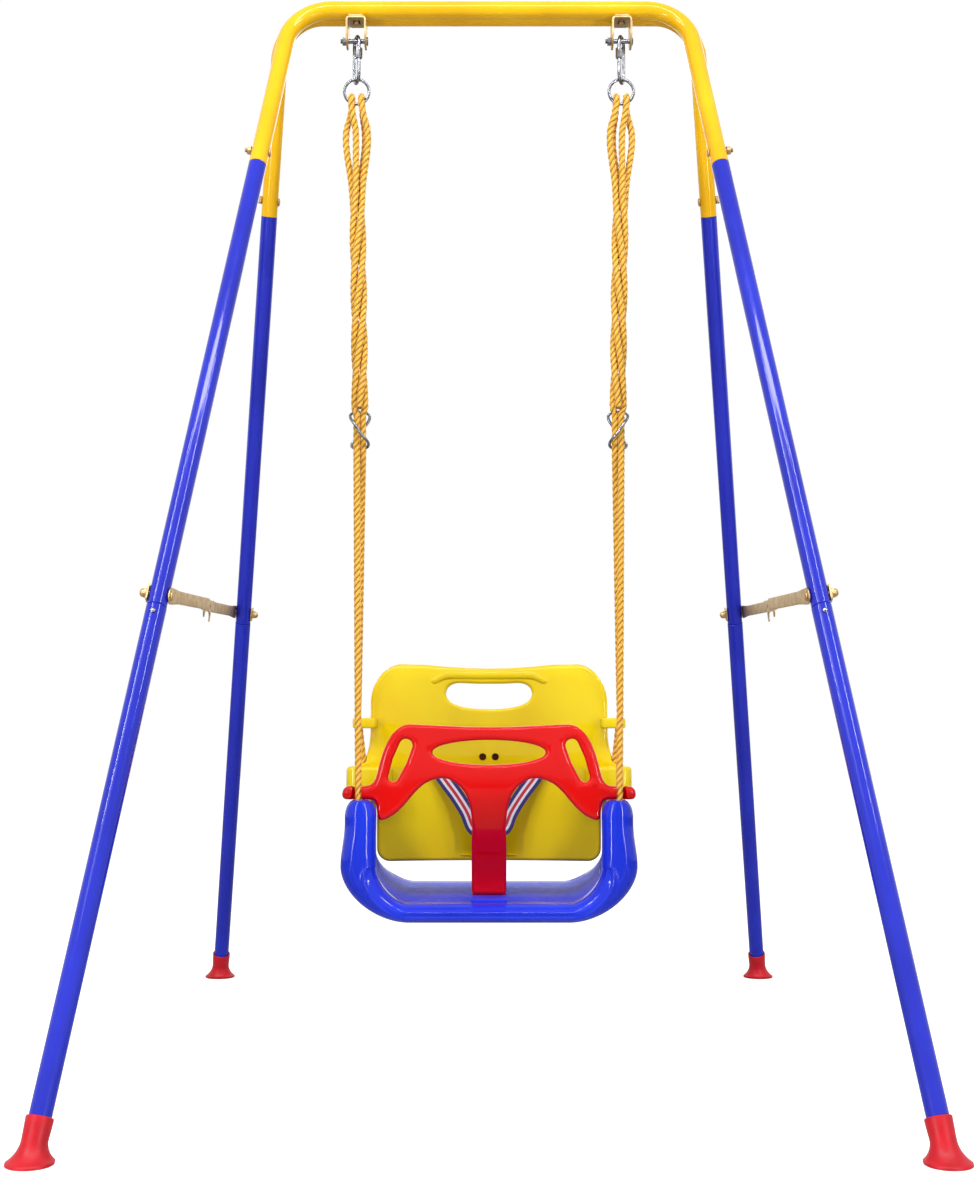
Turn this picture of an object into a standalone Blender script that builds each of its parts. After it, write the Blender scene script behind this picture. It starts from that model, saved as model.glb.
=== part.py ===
"""Toddler swing set: two hinged tube frames with folding braces and a three-piece bucket seat on ropes."""

import math

import bmesh
import bpy
from mathutils import Matrix, Vector

# All sizes are in metres. The origin is on the floor, midway between the four feet.

# Stance of the two frames
BAR_HEIGHT = 1.3495
FRONT_BAR_HALF = 0.2552
REAR_BAR_HALF = 0.2716
FOOT_HALF_WIDTH = 0.4437
FOOT_REACH = 0.580
BEND_RADIUS = 0.060
STUB_LENGTH = 0.254

# Tubes
TUBE_RADIUS = 0.0111
LOWER_TUBE_RADIUS = 0.0114
TUBE_WALL = 0.0011
INSERT_LENGTH = 0.045
TUBE_FIT = 0.0004
GAP = 0.0003
BAR_GAP = 0.0006
BEND_STEPS = 6
TUBE_STEPS = 24

# Feet
FOOT_BASE_RADIUS = 0.0240
FOOT_SLEEVE_RADIUS = 0.0136
FOOT_HEIGHT = 0.042
FOOT_FLARE = 0.020
FOOT_SOLE = 0.008

# Joint bolts through the ends of the bent tubes
JOINT_BOLT_RADIUS = 0.0028
JOINT_BOLT_INSET = 0.020
BOLT_HEAD_RADIUS = 0.0055
BOLT_HEAD_HEIGHT = 0.0022
NUT_RADIUS = 0.0052
NUT_HEIGHT = 0.0048
BOLT_END = 0.0030
HOLE_FIT = 0.0003

# Spring buttons
BUTTON_RADIUS = 0.0030
BUTTON_PROUD = 0.0024
BUTTON_OFFSET = 0.010
BUTTON_TRAVEL = 0.0024
LEAF_LENGTH = 0.030
LEAF_WIDTH = 0.006
LEAF_THICKNESS = 0.0010

# Hanger brackets, their bolts and the clips round the rear tube
HANG_X = 0.172
STRAP_WIDTH = 0.0262
STRAP_DEPTH = 0.032
STRAP_THICKNESS = 0.0025
STRAP_BEND = 0.005
PIN_DROP = 0.0405
EAR_BELOW_PIN = 0.0105
CLIP_WIDTH = 0.018
CLIP_THICKNESS = 0.0015
CLIP_WRAP_END = 115.0
HANGER_BOLT_RADIUS = 0.0028
HANGER_BOLT_REACH = 0.008
HANGER_HEAD_RADIUS = 0.0050
HANGER_HEAD_HEIGHT = 0.0030
PIN_RADIUS = 0.0030
PIN_HEAD_RADIUS = 0.0056
PIN_HEAD_HEIGHT = 0.0022
PIN_NUT_HEIGHT = 0.0050
PIN_END = 0.0025

# Quick links, sleeves and rings
LINK_LENGTH = 0.064
LINK_WIDTH = 0.026
LINK_WIRE = 0.00225
LINK_TURN = 20.0
LINK_MOUTH = 0.009
LINK_MOUTH_ABOVE = 0.005
SLEEVE_LENGTH = 0.013
SLEEVE_RADIUS = 0.0046
RING_RADIUS = 0.016
RING_WIRE = 0.0020

# Ropes and adjusters
ROPE_RADIUS = 0.00425
ROPE_GAP = 0.0008
LOOP_SPREAD = 0.0065
ADJUSTER_X = 0.168
ADJUSTER_TOP = 0.8305
ADJUSTER_HEIGHT = 0.052
ADJUSTER_WIRE = 0.0019
ADJUSTER_UPPER = 0.0143
ADJUSTER_LOWER = 0.0133
ADJUSTER_UPPER_SHARE = 0.58
ADJUSTER_SPREAD = 0.0047
FAN_DROP = 0.0426
BUNDLE_DROP = 0.1226
BUNDLE_TURNS = 345.0 / 360.0
KNOT_RADIUS = 0.0082
KNOT_HEIGHT = 0.014

# Folding braces
FRONT_PIVOT = 0.8564
REAR_PIVOT = 0.8346
FRONT_TILT = 7.0
REAR_TILT = 8.5
LINK_THICKNESS = 0.0018
LINK_HALF_HEIGHT = 0.0075
LINK_END_HALF_HEIGHT = 0.0095
LINK_END_TAPER = 0.060
JOG_START = 0.085
JOG_END = 0.050
BRACE_GAP = 0.0004
BRACE_BOLT_RADIUS = 0.0030
CAP_NUT_RADIUS = 0.0058
CAP_NUT_LENGTH = 0.0085
PLATE_HALF_HEIGHT = 0.0095
PLATE_THICKNESS = 0.0022
RIVET_RADIUS = 0.0024
RIVET_HEAD_RADIUS = 0.0048
RIVET_HEAD_HEIGHT = 0.0020
CATCH_PIVOT = 0.034
CATCH_PIN_RADIUS = 0.0018
CATCH_HALF_HEIGHT = 0.0040
CATCH_THICKNESS = 0.0018
CATCH_DROP = 0.0125
CATCH_TAB = 0.0085

# Seat base
SEAT_FRONT = -0.136
SEAT_REAR = 0.112
ARM_TOP = 0.3280
ARM_OUTER = 0.1785
SEAT_OUTER = 0.1840
SEAT_BOTTOM = 0.1761
BULGE_HEIGHT = 0.245
BULGE_START = 0.300
CORNER_WIDTH = 0.0835
CORNER_POWER = 1.8
FRONT_THICKNESS = 0.0405
REAR_THICKNESS = 0.0235
PAN_THICKNESS = 0.0275
SEAT_WALL = 0.0030
ARM_DOME = 0.018
ARM_STEPS = 4
CORNER_STEPS = 8
PAN_STEPS = 2
NOSE = 0.014
ROPE_HOLE_RADIUS = 0.0065
FRONT_ROPE_X = 0.1620
FRONT_ROPE_Y = -0.112
REAR_ROPE_X = 0.1660
REAR_ROPE_Y = 0.090
REAR_TURN_X = 0.1760
REAR_TURN_Y = 0.0665
REAR_TURN_ABOVE = 0.009

# Backrest
BACK_TOP = 0.5023
BACK_DIP = 0.0060
BACK_BOTTOM = 0.2343
BACK_HALF_WIDTH = 0.1605
BACK_LOWER_HALF = 0.1518
BACK_SHOULDER_X = 0.044
BACK_SHOULDER_Z = 0.056
BACK_CORNER = 0.018
BACK_WAIST = 0.345
BACK_CENTRE_Y = 0.109
BACK_SIDE_Y = 0.083
BACK_THICKNESS = 0.012
HANDLE_HALF_WIDTH = 0.0585
HANDLE_TOP = 0.4765
HANDLE_BOTTOM = 0.4411
WING_TOP = 0.3645
WING_OUTER = 0.1915
WING_INNER = 0.1300
WING_FRONT = 0.048
WING_REAR = 0.104
WING_ROUND = 0.010
LUG_HEIGHT = 0.4221
LUG_THICKNESS = 0.014
LUG_RADIUS = 0.0085
BELT_SLOT_X = 0.075
BELT_SLOT_Z = 0.372
BELT_SLOT_WIDTH = 0.026
BELT_SLOT_HEIGHT = 0.006
VENT_X = 0.0086
VENT_Z = 0.3758
VENT_RADIUS = 0.0050
VENT_DEPTH = 0.0080

# Front guard
GUARD_TOP = 0.4219
GUARD_THICKNESS = 0.016
GUARD_CENTRE_Y = -0.116
GUARD_SIDE_Y = -0.106
GUARD_ARM_TOP = 0.3450
GUARD_OVERHANG = 0.0040
GUARD_ARM_HALF = ARM_OUTER + GUARD_OVERHANG
GUARD_POST_HALF = 0.0222
GUARD_DIP = 0.0034
GUARD_BEND_HEIGHT = 0.345
GUARD_BEND_HALF = 0.060
POST_Y = -0.050
TONGUE_HALF = 0.0215
TONGUE_THICKNESS = 0.0040
TONGUE_DEPTH = 0.0080
TONGUE_BACK = 0.0024
GUARD_GROOVE_RADIUS = 0.0080
GUARD_GROOVE_SHIFT = 0.0018
GUARD_GROOVE_MOUTH = 0.0058
POST_SLOT_FIT = 0.0006
GUARD_OVAL_HALF_WIDTH = 0.0700
GUARD_OVAL_HALF_HEIGHT = 0.0153
GUARD_OVAL_Z = 0.3870
LIFT = 0.150

# Harness
WEB_WIDTH = 0.020
WEB_THICKNESS = 0.0014
BUCKLE_Z = 0.262
BUCKLE_WIDTH = 0.044
BUCKLE_HEIGHT = 0.030
BUCKLE_DEPTH = 0.010

# Finishes: red, green, blue, roughness and metallic value
FINISHES = {
    "yellow paint": (0.83, 0.46, 0.01, 0.35, 0.0),
    "blue paint": (0.03, 0.05, 0.46, 0.30, 0.0),
    "red rubber": (0.62, 0.01, 0.03, 0.50, 0.0),
    "zinc": (0.62, 0.52, 0.30, 0.30, 1.0),
    "steel": (0.60, 0.60, 0.62, 0.25, 1.0),
    "rope": (0.75, 0.30, 0.02, 0.70, 0.0),
    "blue plastic": (0.01, 0.05, 0.60, 0.25, 0.0),
    "yellow plastic": (0.82, 0.62, 0.02, 0.30, 0.0),
    "red plastic": (0.78, 0.00, 0.01, 0.30, 0.0),
    "webbing": (0.50, 0.05, 0.08, 0.85, 0.0),
    "black plastic": (0.02, 0.02, 0.02, 0.40, 0.0),
}

BAR_OFFSET = TUBE_RADIUS + BAR_GAP / 2
HANG_Y = -BAR_OFFSET
PIN_HEIGHT = BAR_HEIGHT - PIN_DROP
WEB_TOP = BAR_HEIGHT - TUBE_RADIUS - CLIP_THICKNESS - 2 * GAP
INSERT_RADIUS = TUBE_RADIUS - TUBE_WALL - TUBE_FIT
PAN_TOP = SEAT_BOTTOM + PAN_THICKNESS
LOWER_INSERT_RADIUS = LOWER_TUBE_RADIUS - TUBE_WALL - TUBE_FIT
MIRROR = Matrix.Scale(-1, 4, (1, 0, 0))

for old in list(bpy.data.objects):
    bpy.data.objects.remove(old, do_unlink=True)

PARTS = bpy.data.collections.new("baby_swing_set")
CUTTERS = bpy.data.collections.new("cutters")
bpy.context.scene.collection.children.link(PARTS)
bpy.context.scene.collection.children.link(CUTTERS)
CUTTERS.hide_render = True
MATERIALS = {}


def finish(name):
    """The material of this finish."""
    if name not in MATERIALS:
        red, green, blue, roughness, metallic = FINISHES[name]
        material = bpy.data.materials.new(name)
        material.use_nodes = True
        shader = material.node_tree.nodes["Principled BSDF"]
        shader.inputs["Base Color"].default_value = (red, green, blue, 1)
        shader.inputs["Roughness"].default_value = roughness
        shader.inputs["Metallic"].default_value = metallic
        material.diffuse_color = (red, green, blue, 1)
        MATERIALS[name] = material
    return MATERIALS[name]


def add_object(name, data, matrix=Matrix()):
    """A new object of the part, placed by its matrix."""
    obj = bpy.data.objects.new(name, data)
    PARTS.objects.link(obj)
    obj.matrix_world = matrix
    return obj


def baked(obj):
    """The object's evaluated shape as a plain, welded mesh object of the same name and place."""
    bpy.context.view_layer.update()
    graph = bpy.context.evaluated_depsgraph_get()
    mesh = bpy.data.meshes.new_from_object(obj.evaluated_get(graph))
    shape = bmesh.new()
    shape.from_mesh(mesh)
    bmesh.ops.remove_doubles(shape, verts=shape.verts, dist=1e-6)
    shape.to_mesh(mesh)
    shape.free()
    name = obj.name
    matrix = obj.matrix_world.copy()
    bpy.data.objects.remove(obj, do_unlink=True)
    mesh.name = name
    return add_object(name, mesh, matrix)


def combine(obj, other, operation):
    """The boolean of two objects, baked into the first one. The second becomes a hidden cutter."""
    CUTTERS.objects.link(other)
    PARTS.objects.unlink(other)
    other.hide_render = True
    other.display_type = "WIRE"
    cut = obj.modifiers.new(operation.lower(), "BOOLEAN")
    cut.operation = operation
    cut.object = other
    return baked(obj)


def turned(name, profile, matrix=Matrix(), steps=16):
    """A body turned about its local Z from a profile of (radius, height), down its outer side."""
    mesh = bpy.data.meshes.new(name)
    shape = bmesh.new()
    points = [shape.verts.new((radius, 0, height)) for radius, height in profile]
    for first, second in zip(points, points[1:]):
        shape.edges.new((first, second))
    if profile[0][0] > 0:
        shape.edges.new((points[-1], points[0]))
    shape.to_mesh(mesh)
    shape.free()
    obj = add_object(name, mesh, matrix)
    screw = obj.modifiers.new("turn", "SCREW")
    screw.angle = math.tau
    screw.steps = steps
    screw.render_steps = steps
    screw.use_merge_vertices = True
    screw.merge_threshold = 1e-6
    obj = baked(obj)
    for face in obj.data.polygons:
        face.use_smooth = True
    obj.data.set_sharp_from_angle(angle=math.radians(35))
    return obj


def cylinder(name, radius, low, high, matrix=Matrix(), steps=16):
    """A plain round bar along local Z."""
    profile = [(0, high), (radius, high), (radius, low), (0, low)]
    return turned(name, profile, matrix, steps)


def prism(name, sides, radius, low, high, matrix=Matrix()):
    """A straight prism with this many sides along local Z, such as a nut."""
    mesh = bpy.data.meshes.new(name)
    shape = bmesh.new()
    bmesh.ops.create_cone(
        shape, cap_ends=True, segments=sides, radius1=radius, radius2=radius, depth=high - low
    )
    bmesh.ops.translate(shape, verts=shape.verts, vec=(0, 0, (low + high) / 2))
    shape.to_mesh(mesh)
    shape.free()
    return add_object(name, mesh, matrix)


def block(name, low, high, matrix=Matrix()):
    """A box between two corners."""
    mesh = bpy.data.meshes.new(name)
    shape = bmesh.new()
    bmesh.ops.create_cube(shape, size=1)
    size = [b - a for a, b in zip(low, high)]
    middle = [(a + b) / 2 for a, b in zip(low, high)]
    bmesh.ops.scale(shape, verts=shape.verts, vec=size)
    bmesh.ops.translate(shape, verts=shape.verts, vec=middle)
    shape.to_mesh(mesh)
    shape.free()
    return add_object(name, mesh, matrix)


def wire(name, points, radius, resolution=2, closed=False):
    """A round wire or tube through these points, made a mesh."""
    curve = bpy.data.curves.new(name, "CURVE")
    curve.dimensions = "3D"
    curve.bevel_depth = radius
    curve.bevel_resolution = resolution
    curve.use_fill_caps = not closed
    spline = curve.splines.new("POLY")
    spline.points.add(len(points) - 1)
    for point, place in zip(spline.points, points):
        point.co = (*place, 1)
    spline.use_cyclic_u = closed
    for section in curve.splines:
        section.use_smooth = True
    return baked(add_object(name, curve))


def flat(name, outlines, thickness, matrix=Matrix()):
    """A flat plate from closed outlines in local XY, the first the rim and the rest holes."""
    curve = bpy.data.curves.new(name, "CURVE")
    curve.dimensions = "2D"
    curve.fill_mode = "BOTH"
    curve.extrude = thickness / 2
    for outline in outlines:
        spline = curve.splines.new("POLY")
        spline.points.add(len(outline) - 1)
        for point, place in zip(spline.points, outline):
            point.co = (place[0], place[1], 0, 1)
        spline.use_cyclic_u = True
    return baked(add_object(name, curve, matrix))


def arc(centre, radius, start, end, steps):
    """Points along an arc in the plane, from one angle in degrees to another."""
    points = []
    for step in range(steps + 1):
        angle = math.radians(start + (end - start) * step / steps)
        points.append((centre[0] + radius * math.cos(angle), centre[1] + radius * math.sin(angle)))
    return points


def mirrored_outline(half):
    """A closed outline from its half at positive x, which starts and ends near the middle line."""
    return half + [(-x, y) for x, y in reversed(half) if x > 1e-6]


def smooth_curve(knots, per_span):
    """Points on a Catmull-Rom curve through the knots."""
    ends = [knots[0] * 2 - knots[1]] + list(knots) + [knots[-1] * 2 - knots[-2]]
    points = []
    for before, start, end, after in zip(ends, ends[1:], ends[2:], ends[3:]):
        for step in range(per_span):
            t = step / per_span
            points.append(
                0.5 * (
                    2 * start
                    + (end - before) * t
                    + (2 * before - 5 * start + 4 * end - after) * t * t
                    + (3 * start - before - 3 * end + after) * t * t * t
                )
            )
    return points + [knots[-1]]


def give(obj, finish_name, parent):
    """Dresses a finished object and hangs it on the empty of its body."""
    obj.data.materials.clear()
    obj.data.materials.append(finish(finish_name))
    place = obj.matrix_world.copy()
    obj.parent = parent
    obj.matrix_parent_inverse = parent.matrix_world.inverted()
    obj.matrix_basis = place
    return obj


def pair(obj, finish_name, right_parent, left_parent):
    """Names the object as the right one of a pair and adds its mirrored left one."""
    base = obj.name
    obj.name = base + "_right"
    left = add_object(base + "_left", obj.data, MIRROR @ obj.matrix_world)
    give(obj, finish_name, right_parent)
    give(left, finish_name, left_parent)


def empty_at(name, place, parent=None):
    """An empty on a joint's axis, which carries the pieces of one moving body."""
    obj = bpy.data.objects.new(name, None)
    obj.empty_display_size = 0.03
    PARTS.objects.link(obj)
    bpy.context.view_layer.update()
    if parent:
        obj.parent = parent
        obj.matrix_parent_inverse = parent.matrix_world.inverted()
    obj.matrix_basis = Matrix.Translation(place)
    bpy.context.view_layer.update()
    return obj


def frame_matrix(place, z_axis, x_hint):
    """A matrix at this place whose Z runs along z_axis and whose X lies nearest x_hint."""
    z_axis = z_axis.normalized()
    x_axis = (x_hint - z_axis * x_hint.dot(z_axis)).normalized()
    y_axis = z_axis.cross(x_axis)
    rows = Matrix((x_axis, y_axis, z_axis)).transposed()
    return Matrix.Translation(place) @ rows.to_4x4()


class Frame:
    """One of the two tube frames, described by its right-hand leg."""

    def __init__(self, name, sign, half, pivot, tilt):
        self.name = name
        self.sign = sign
        self.corner = Vector((half, sign * BAR_OFFSET, BAR_HEIGHT))
        self.foot = Vector((FOOT_HALF_WIDTH, sign * FOOT_REACH, 0))
        self.down = (self.foot - self.corner).normalized()
        self.length = (self.foot - self.corner).length
        self.pivot = pivot
        self.seam = pivot + JOINT_BOLT_INSET * 0.75
        angle = math.radians(tilt)
        self.axis = Vector((math.cos(angle), 0, math.sin(angle)))

    def at(self, distance):
        """The point of the leg's centre line this far from the bar's corner."""
        return self.corner + self.down * distance

    def matrix(self, distance=0.0):
        """Local Z up along the leg and local X outwards."""
        return frame_matrix(self.at(distance), -self.down, self.axis)

    def across(self, distance):
        """Local Z outwards along the brace pivot's axis."""
        return frame_matrix(self.at(distance), self.axis, -self.down)

    def facing(self, distance):
        """Local Z square to the frame's plane, away from the other frame."""
        normal = self.down.cross(Vector((1, 0, 0))).normalized()
        if normal.y * self.sign < 0:
            normal = -normal
        return frame_matrix(self.at(distance), normal, -self.down)


FRONT = Frame("front", -1, FRONT_BAR_HALF, FRONT_PIVOT, FRONT_TILT)
REAR = Frame("rear", 1, REAR_BAR_HALF, REAR_PIVOT, REAR_TILT)


def bent_line(frame, overrun=0.0):
    """The centre line of a bent top tube, from the left end to the right end."""
    along = Vector((-1, 0, 0))
    angle = along.angle(frame.down)
    run = BEND_RADIUS / math.tan(angle / 2)
    centre = frame.corner + (along + frame.down).normalized() * BEND_RADIUS / math.sin(angle / 2)
    start = frame.corner + along * run - centre
    finish_at = frame.corner + frame.down * run - centre
    sweep = start.angle(finish_at)
    normal = start.cross(finish_at).normalized()
    half = []
    for step in range(BEND_STEPS + 1):
        half.append(centre + Matrix.Rotation(sweep * step / BEND_STEPS, 3, normal) @ start)
    half.append(frame.at(STUB_LENGTH + overrun))
    return [MIRROR @ point for point in reversed(half)] + half


def hole(obj, radius, low, high, matrix, steps=12):
    """Cuts a round hole along the matrix's Z."""
    return combine(obj, cylinder("hole_cutter", radius, low, high, matrix, steps), "DIFFERENCE")


def both_sides_hole(obj, radius, reach, matrix):
    """The same hole on the right and, mirrored, on the left."""
    obj = hole(obj, radius, -reach, reach, matrix)
    return hole(obj, radius, -reach, reach, MIRROR @ matrix)


def top_tube(frame, parent):
    """The bent tube at the top of a frame, open at both ends, with its bolt holes."""
    tube = wire(f"{frame.name}_top_tube", bent_line(frame), TUBE_RADIUS, 6)
    bore = wire("bore_cutter", bent_line(frame, 0.01), TUBE_RADIUS - TUBE_WALL, 6)
    tube = combine(tube, bore, "DIFFERENCE")
    across = frame.across(STUB_LENGTH - JOINT_BOLT_INSET)
    tube = both_sides_hole(tube, JOINT_BOLT_RADIUS + HOLE_FIT, 2 * TUBE_RADIUS, across)
    if frame is FRONT:
        below = Matrix.Translation((HANG_X, HANG_Y, BAR_HEIGHT - TUBE_RADIUS))
        tube = both_sides_hole(tube, HANGER_BOLT_RADIUS + HOLE_FIT, TUBE_RADIUS / 2, below)
    give(tube, "yellow paint", parent)


def upper_leg(frame, parent):
    """The upper leg tube, drawn down at both ends to slide into its neighbours."""
    stub = STUB_LENGTH
    seam = frame.seam
    ease = 0.006
    outside = [
        (INSERT_RADIUS, -(stub - INSERT_LENGTH)),
        (INSERT_RADIUS, -(stub + GAP)),
        (TUBE_RADIUS, -(stub + GAP)),
        (TUBE_RADIUS, -seam),
        (LOWER_INSERT_RADIUS, -seam),
        (LOWER_INSERT_RADIUS, -(seam + INSERT_LENGTH)),
    ]
    inside = [
        (LOWER_INSERT_RADIUS - TUBE_WALL, -(seam + INSERT_LENGTH)),
        (LOWER_INSERT_RADIUS - TUBE_WALL, -(seam - ease)),
        (TUBE_RADIUS - TUBE_WALL, -(seam - 2 * ease)),
        (TUBE_RADIUS - TUBE_WALL, -(stub + 2 * ease)),
        (INSERT_RADIUS - TUBE_WALL, -(stub + ease)),
        (INSERT_RADIUS - TUBE_WALL, -(stub - INSERT_LENGTH)),
    ]
    leg = turned(f"{frame.name}_upper_leg", outside + inside, frame.matrix(), TUBE_STEPS)
    reach = 2 * TUBE_RADIUS
    top = frame.across(stub - JOINT_BOLT_INSET)
    leg = hole(leg, JOINT_BOLT_RADIUS + HOLE_FIT, -reach, reach, top)
    leg = hole(leg, BRACE_BOLT_RADIUS + HOLE_FIT, -reach, reach, frame.across(frame.pivot))
    button = frame.facing(seam + BUTTON_OFFSET)
    leg = hole(leg, BUTTON_RADIUS + HOLE_FIT, 0, reach, button)
    pair(leg, "blue paint", parent, parent)


def leg_end(frame):
    """How far from the corner the lower leg stops inside its foot."""
    return frame.length - FOOT_SOLE / abs(frame.down.z)


def lower_leg(frame, parent):
    """The lower leg tube, which takes the upper one in its top end."""
    top = -(frame.seam + GAP)
    end = -leg_end(frame)
    bore = LOWER_TUBE_RADIUS - TUBE_WALL
    profile = [(LOWER_TUBE_RADIUS, top), (LOWER_TUBE_RADIUS, end), (bore, end), (bore, top)]
    leg = turned(f"{frame.name}_lower_leg", profile, frame.matrix(), TUBE_STEPS)
    button = frame.facing(frame.seam + BUTTON_OFFSET)
    leg = hole(leg, BUTTON_RADIUS + HOLE_FIT, 0, 2 * TUBE_RADIUS, button)
    pair(leg, "blue paint", parent, parent)


def foot(frame, parent):
    """A rubber foot: a sleeve along the leg on a flared base that is flat on the floor."""
    top = -(frame.length - FOOT_HEIGHT / abs(frame.down.z))
    sleeve = cylinder(
        f"{frame.name}_foot", FOOT_SLEEVE_RADIUS, -frame.length - 0.010, top, frame.matrix(), 20
    )
    rise = FOOT_FLARE
    flare = [
        (0, rise),
        (FOOT_SLEEVE_RADIUS * 1.04, rise),
        (FOOT_SLEEVE_RADIUS * 1.16, rise * 0.62),
        (FOOT_SLEEVE_RADIUS * 1.45, rise * 0.28),
        (FOOT_BASE_RADIUS, rise * 0.10),
        (FOOT_BASE_RADIUS, 0),
        (0, 0),
    ]
    slope = frame.down / frame.down.z
    lean = Matrix.Translation(frame.foot)
    lean = lean @ Matrix(((1, 0, slope.x, 0), (0, 1, slope.y, 0), (0, 0, 1, 0), (0, 0, 0, 1)))
    base = turned("flare", flare, Matrix(), 28)
    base.data.transform(lean)
    body = combine(sleeve, base, "UNION")
    under = block("floor_cutter", (-0.1, -0.1, -0.1), (0.1, 0.1, 0))
    under.matrix_world = Matrix.Translation(frame.foot)
    body = combine(body, under, "DIFFERENCE")
    socket = -(leg_end(frame) + GAP)
    body = hole(body, LOWER_TUBE_RADIUS + GAP, socket, top + 0.01, frame.matrix(), TUBE_STEPS)
    pair(body, "red rubber", parent, parent)


def bolt_with_nut(name, radius, head_at, nut_at, matrix, head=BOLT_HEAD_RADIUS, nut=NUT_RADIUS):
    """A round-headed bolt along local Z with its nut on, from the head's seat to the nut's."""
    low = head_at - BOLT_HEAD_HEIGHT
    end = nut_at + NUT_HEIGHT + BOLT_END
    profile = [
        (0, end),
        (radius, end),
        (radius, head_at),
        (head, head_at),
        (head * 0.86, head_at - BOLT_HEAD_HEIGHT * 0.55),
        (head * 0.45, low),
        (0, low),
    ]
    bolt = turned(name, profile, matrix, 12)
    hexagon = prism("nut", 6, nut, nut_at, nut_at + NUT_HEIGHT, matrix)
    return combine(bolt, hexagon, "UNION")


def joint_bolt(frame, parent):
    """The bolt that pins the upper leg into the bent tube, nut outwards."""
    seat = TUBE_RADIUS + GAP
    matrix = frame.across(STUB_LENGTH - JOINT_BOLT_INSET)
    bolt = bolt_with_nut(f"{frame.name}_joint_bolt", JOINT_BOLT_RADIUS, -seat, seat, matrix)
    pair(bolt, "zinc", parent, parent)


def spring_button(frame, right_parent, left_parent):
    """A snap button through both tubes on the leaf spring that pushes it out."""
    matrix = frame.facing(frame.seam + BUTTON_OFFSET)
    inner = LOWER_INSERT_RADIUS - TUBE_WALL - LEAF_THICKNESS - 0.0016
    top = LOWER_TUBE_RADIUS + BUTTON_PROUD
    profile = [
        (0, top),
        (BUTTON_RADIUS * 0.6, top - 0.0003),
        (BUTTON_RADIUS, top - 0.0012),
        (BUTTON_RADIUS, inner),
        (0, inner),
    ]
    button = turned(f"{frame.name}_button", profile, matrix, 12)
    leaf = block(
        "leaf",
        (-LEAF_LENGTH / 2, -LEAF_WIDTH / 2, inner - LEAF_THICKNESS),
        (LEAF_LENGTH / 2, LEAF_WIDTH / 2, inner + 0.0002),
        matrix,
    )
    button = combine(button, leaf, "UNION")
    pair(button, "steel", right_parent, left_parent)


def hanger_bracket(parent):
    """A strap bent to a clevis under the front tube, with a hole for its pin and one for its bolt."""
    outer = STRAP_WIDTH / 2
    inner = outer - STRAP_THICKNESS
    low = -PIN_DROP - EAR_BELOW_PIN
    top = WEB_TOP - BAR_HEIGHT
    half_outer = arc((outer - STRAP_BEND, top - STRAP_BEND), STRAP_BEND, 90, 0, 3)
    half_inner = arc(
        (outer - STRAP_BEND, top - STRAP_BEND), STRAP_BEND - STRAP_THICKNESS, 0, 90, 3
    )
    half = [(0, top)] + half_outer + [(outer, low), (inner, low)] + half_inner
    half.append((0, top - STRAP_THICKNESS))
    upright = Matrix.Translation((HANG_X, HANG_Y, BAR_HEIGHT)) @ Matrix.Rotation(math.pi / 2, 4, "X")
    strap = flat("hanger_bracket", [mirrored_outline(half)], STRAP_DEPTH, upright)
    ear_half = STRAP_DEPTH / 2
    tab = [(ear_half, top + 0.01), (ear_half, low + ear_half * 1.1)]
    tab += arc((0, low + ear_half), ear_half, 0, -180, 10)
    tab += [(-ear_half, low + ear_half * 1.1), (-ear_half, top + 0.01)]
    sideways = Matrix.Translation((HANG_X, HANG_Y, BAR_HEIGHT))
    sideways = sideways @ Matrix.Rotation(math.pi / 2, 4, "Z") @ Matrix.Rotation(math.pi / 2, 4, "X")
    strap = combine(strap, flat("ear_shape", [tab], 2 * STRAP_WIDTH, sideways), "INTERSECT")
    strap = hole(strap, PIN_RADIUS + HOLE_FIT, -STRAP_WIDTH, STRAP_WIDTH, pin_matrix())
    bolt = Matrix.Translation((HANG_X, HANG_Y, WEB_TOP))
    strap = hole(strap, HANGER_BOLT_RADIUS + HOLE_FIT, -0.01, 0.01, bolt)
    pair(strap, "zinc", parent, parent)


def pin_matrix():
    """Local Z outwards to the right along the swing's hinge line, at the right hanger."""
    place = Vector((HANG_X, HANG_Y, PIN_HEIGHT))
    return frame_matrix(place, Vector((1, 0, 0)), Vector((0, 0, 1)))


def hanger_pin(parent):
    """The pin through each bracket, its nut and thread end on the left and its head on the right."""
    seat = STRAP_WIDTH / 2 + GAP
    profile = [
        (0, seat + PIN_HEAD_HEIGHT),
        (PIN_HEAD_RADIUS * 0.8, seat + PIN_HEAD_HEIGHT),
        (PIN_HEAD_RADIUS, seat + PIN_HEAD_HEIGHT * 0.4),
        (PIN_HEAD_RADIUS, seat),
        (PIN_RADIUS, seat),
        (PIN_RADIUS, -seat - PIN_NUT_HEIGHT - PIN_END),
        (0, -seat - PIN_NUT_HEIGHT - PIN_END),
    ]
    for name, side in (("hanger_pin_right", 1), ("hanger_pin_left", -1)):
        place = Matrix.Translation(((side - 1) * HANG_X, 0, 0)) @ pin_matrix()
        pin = turned(name, profile, place, 14)
        nut = prism("nut", 6, PIN_HEAD_RADIUS, -seat - PIN_NUT_HEIGHT, -seat, place)
        give(combine(pin, nut, "UNION"), "steel", parent)


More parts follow.
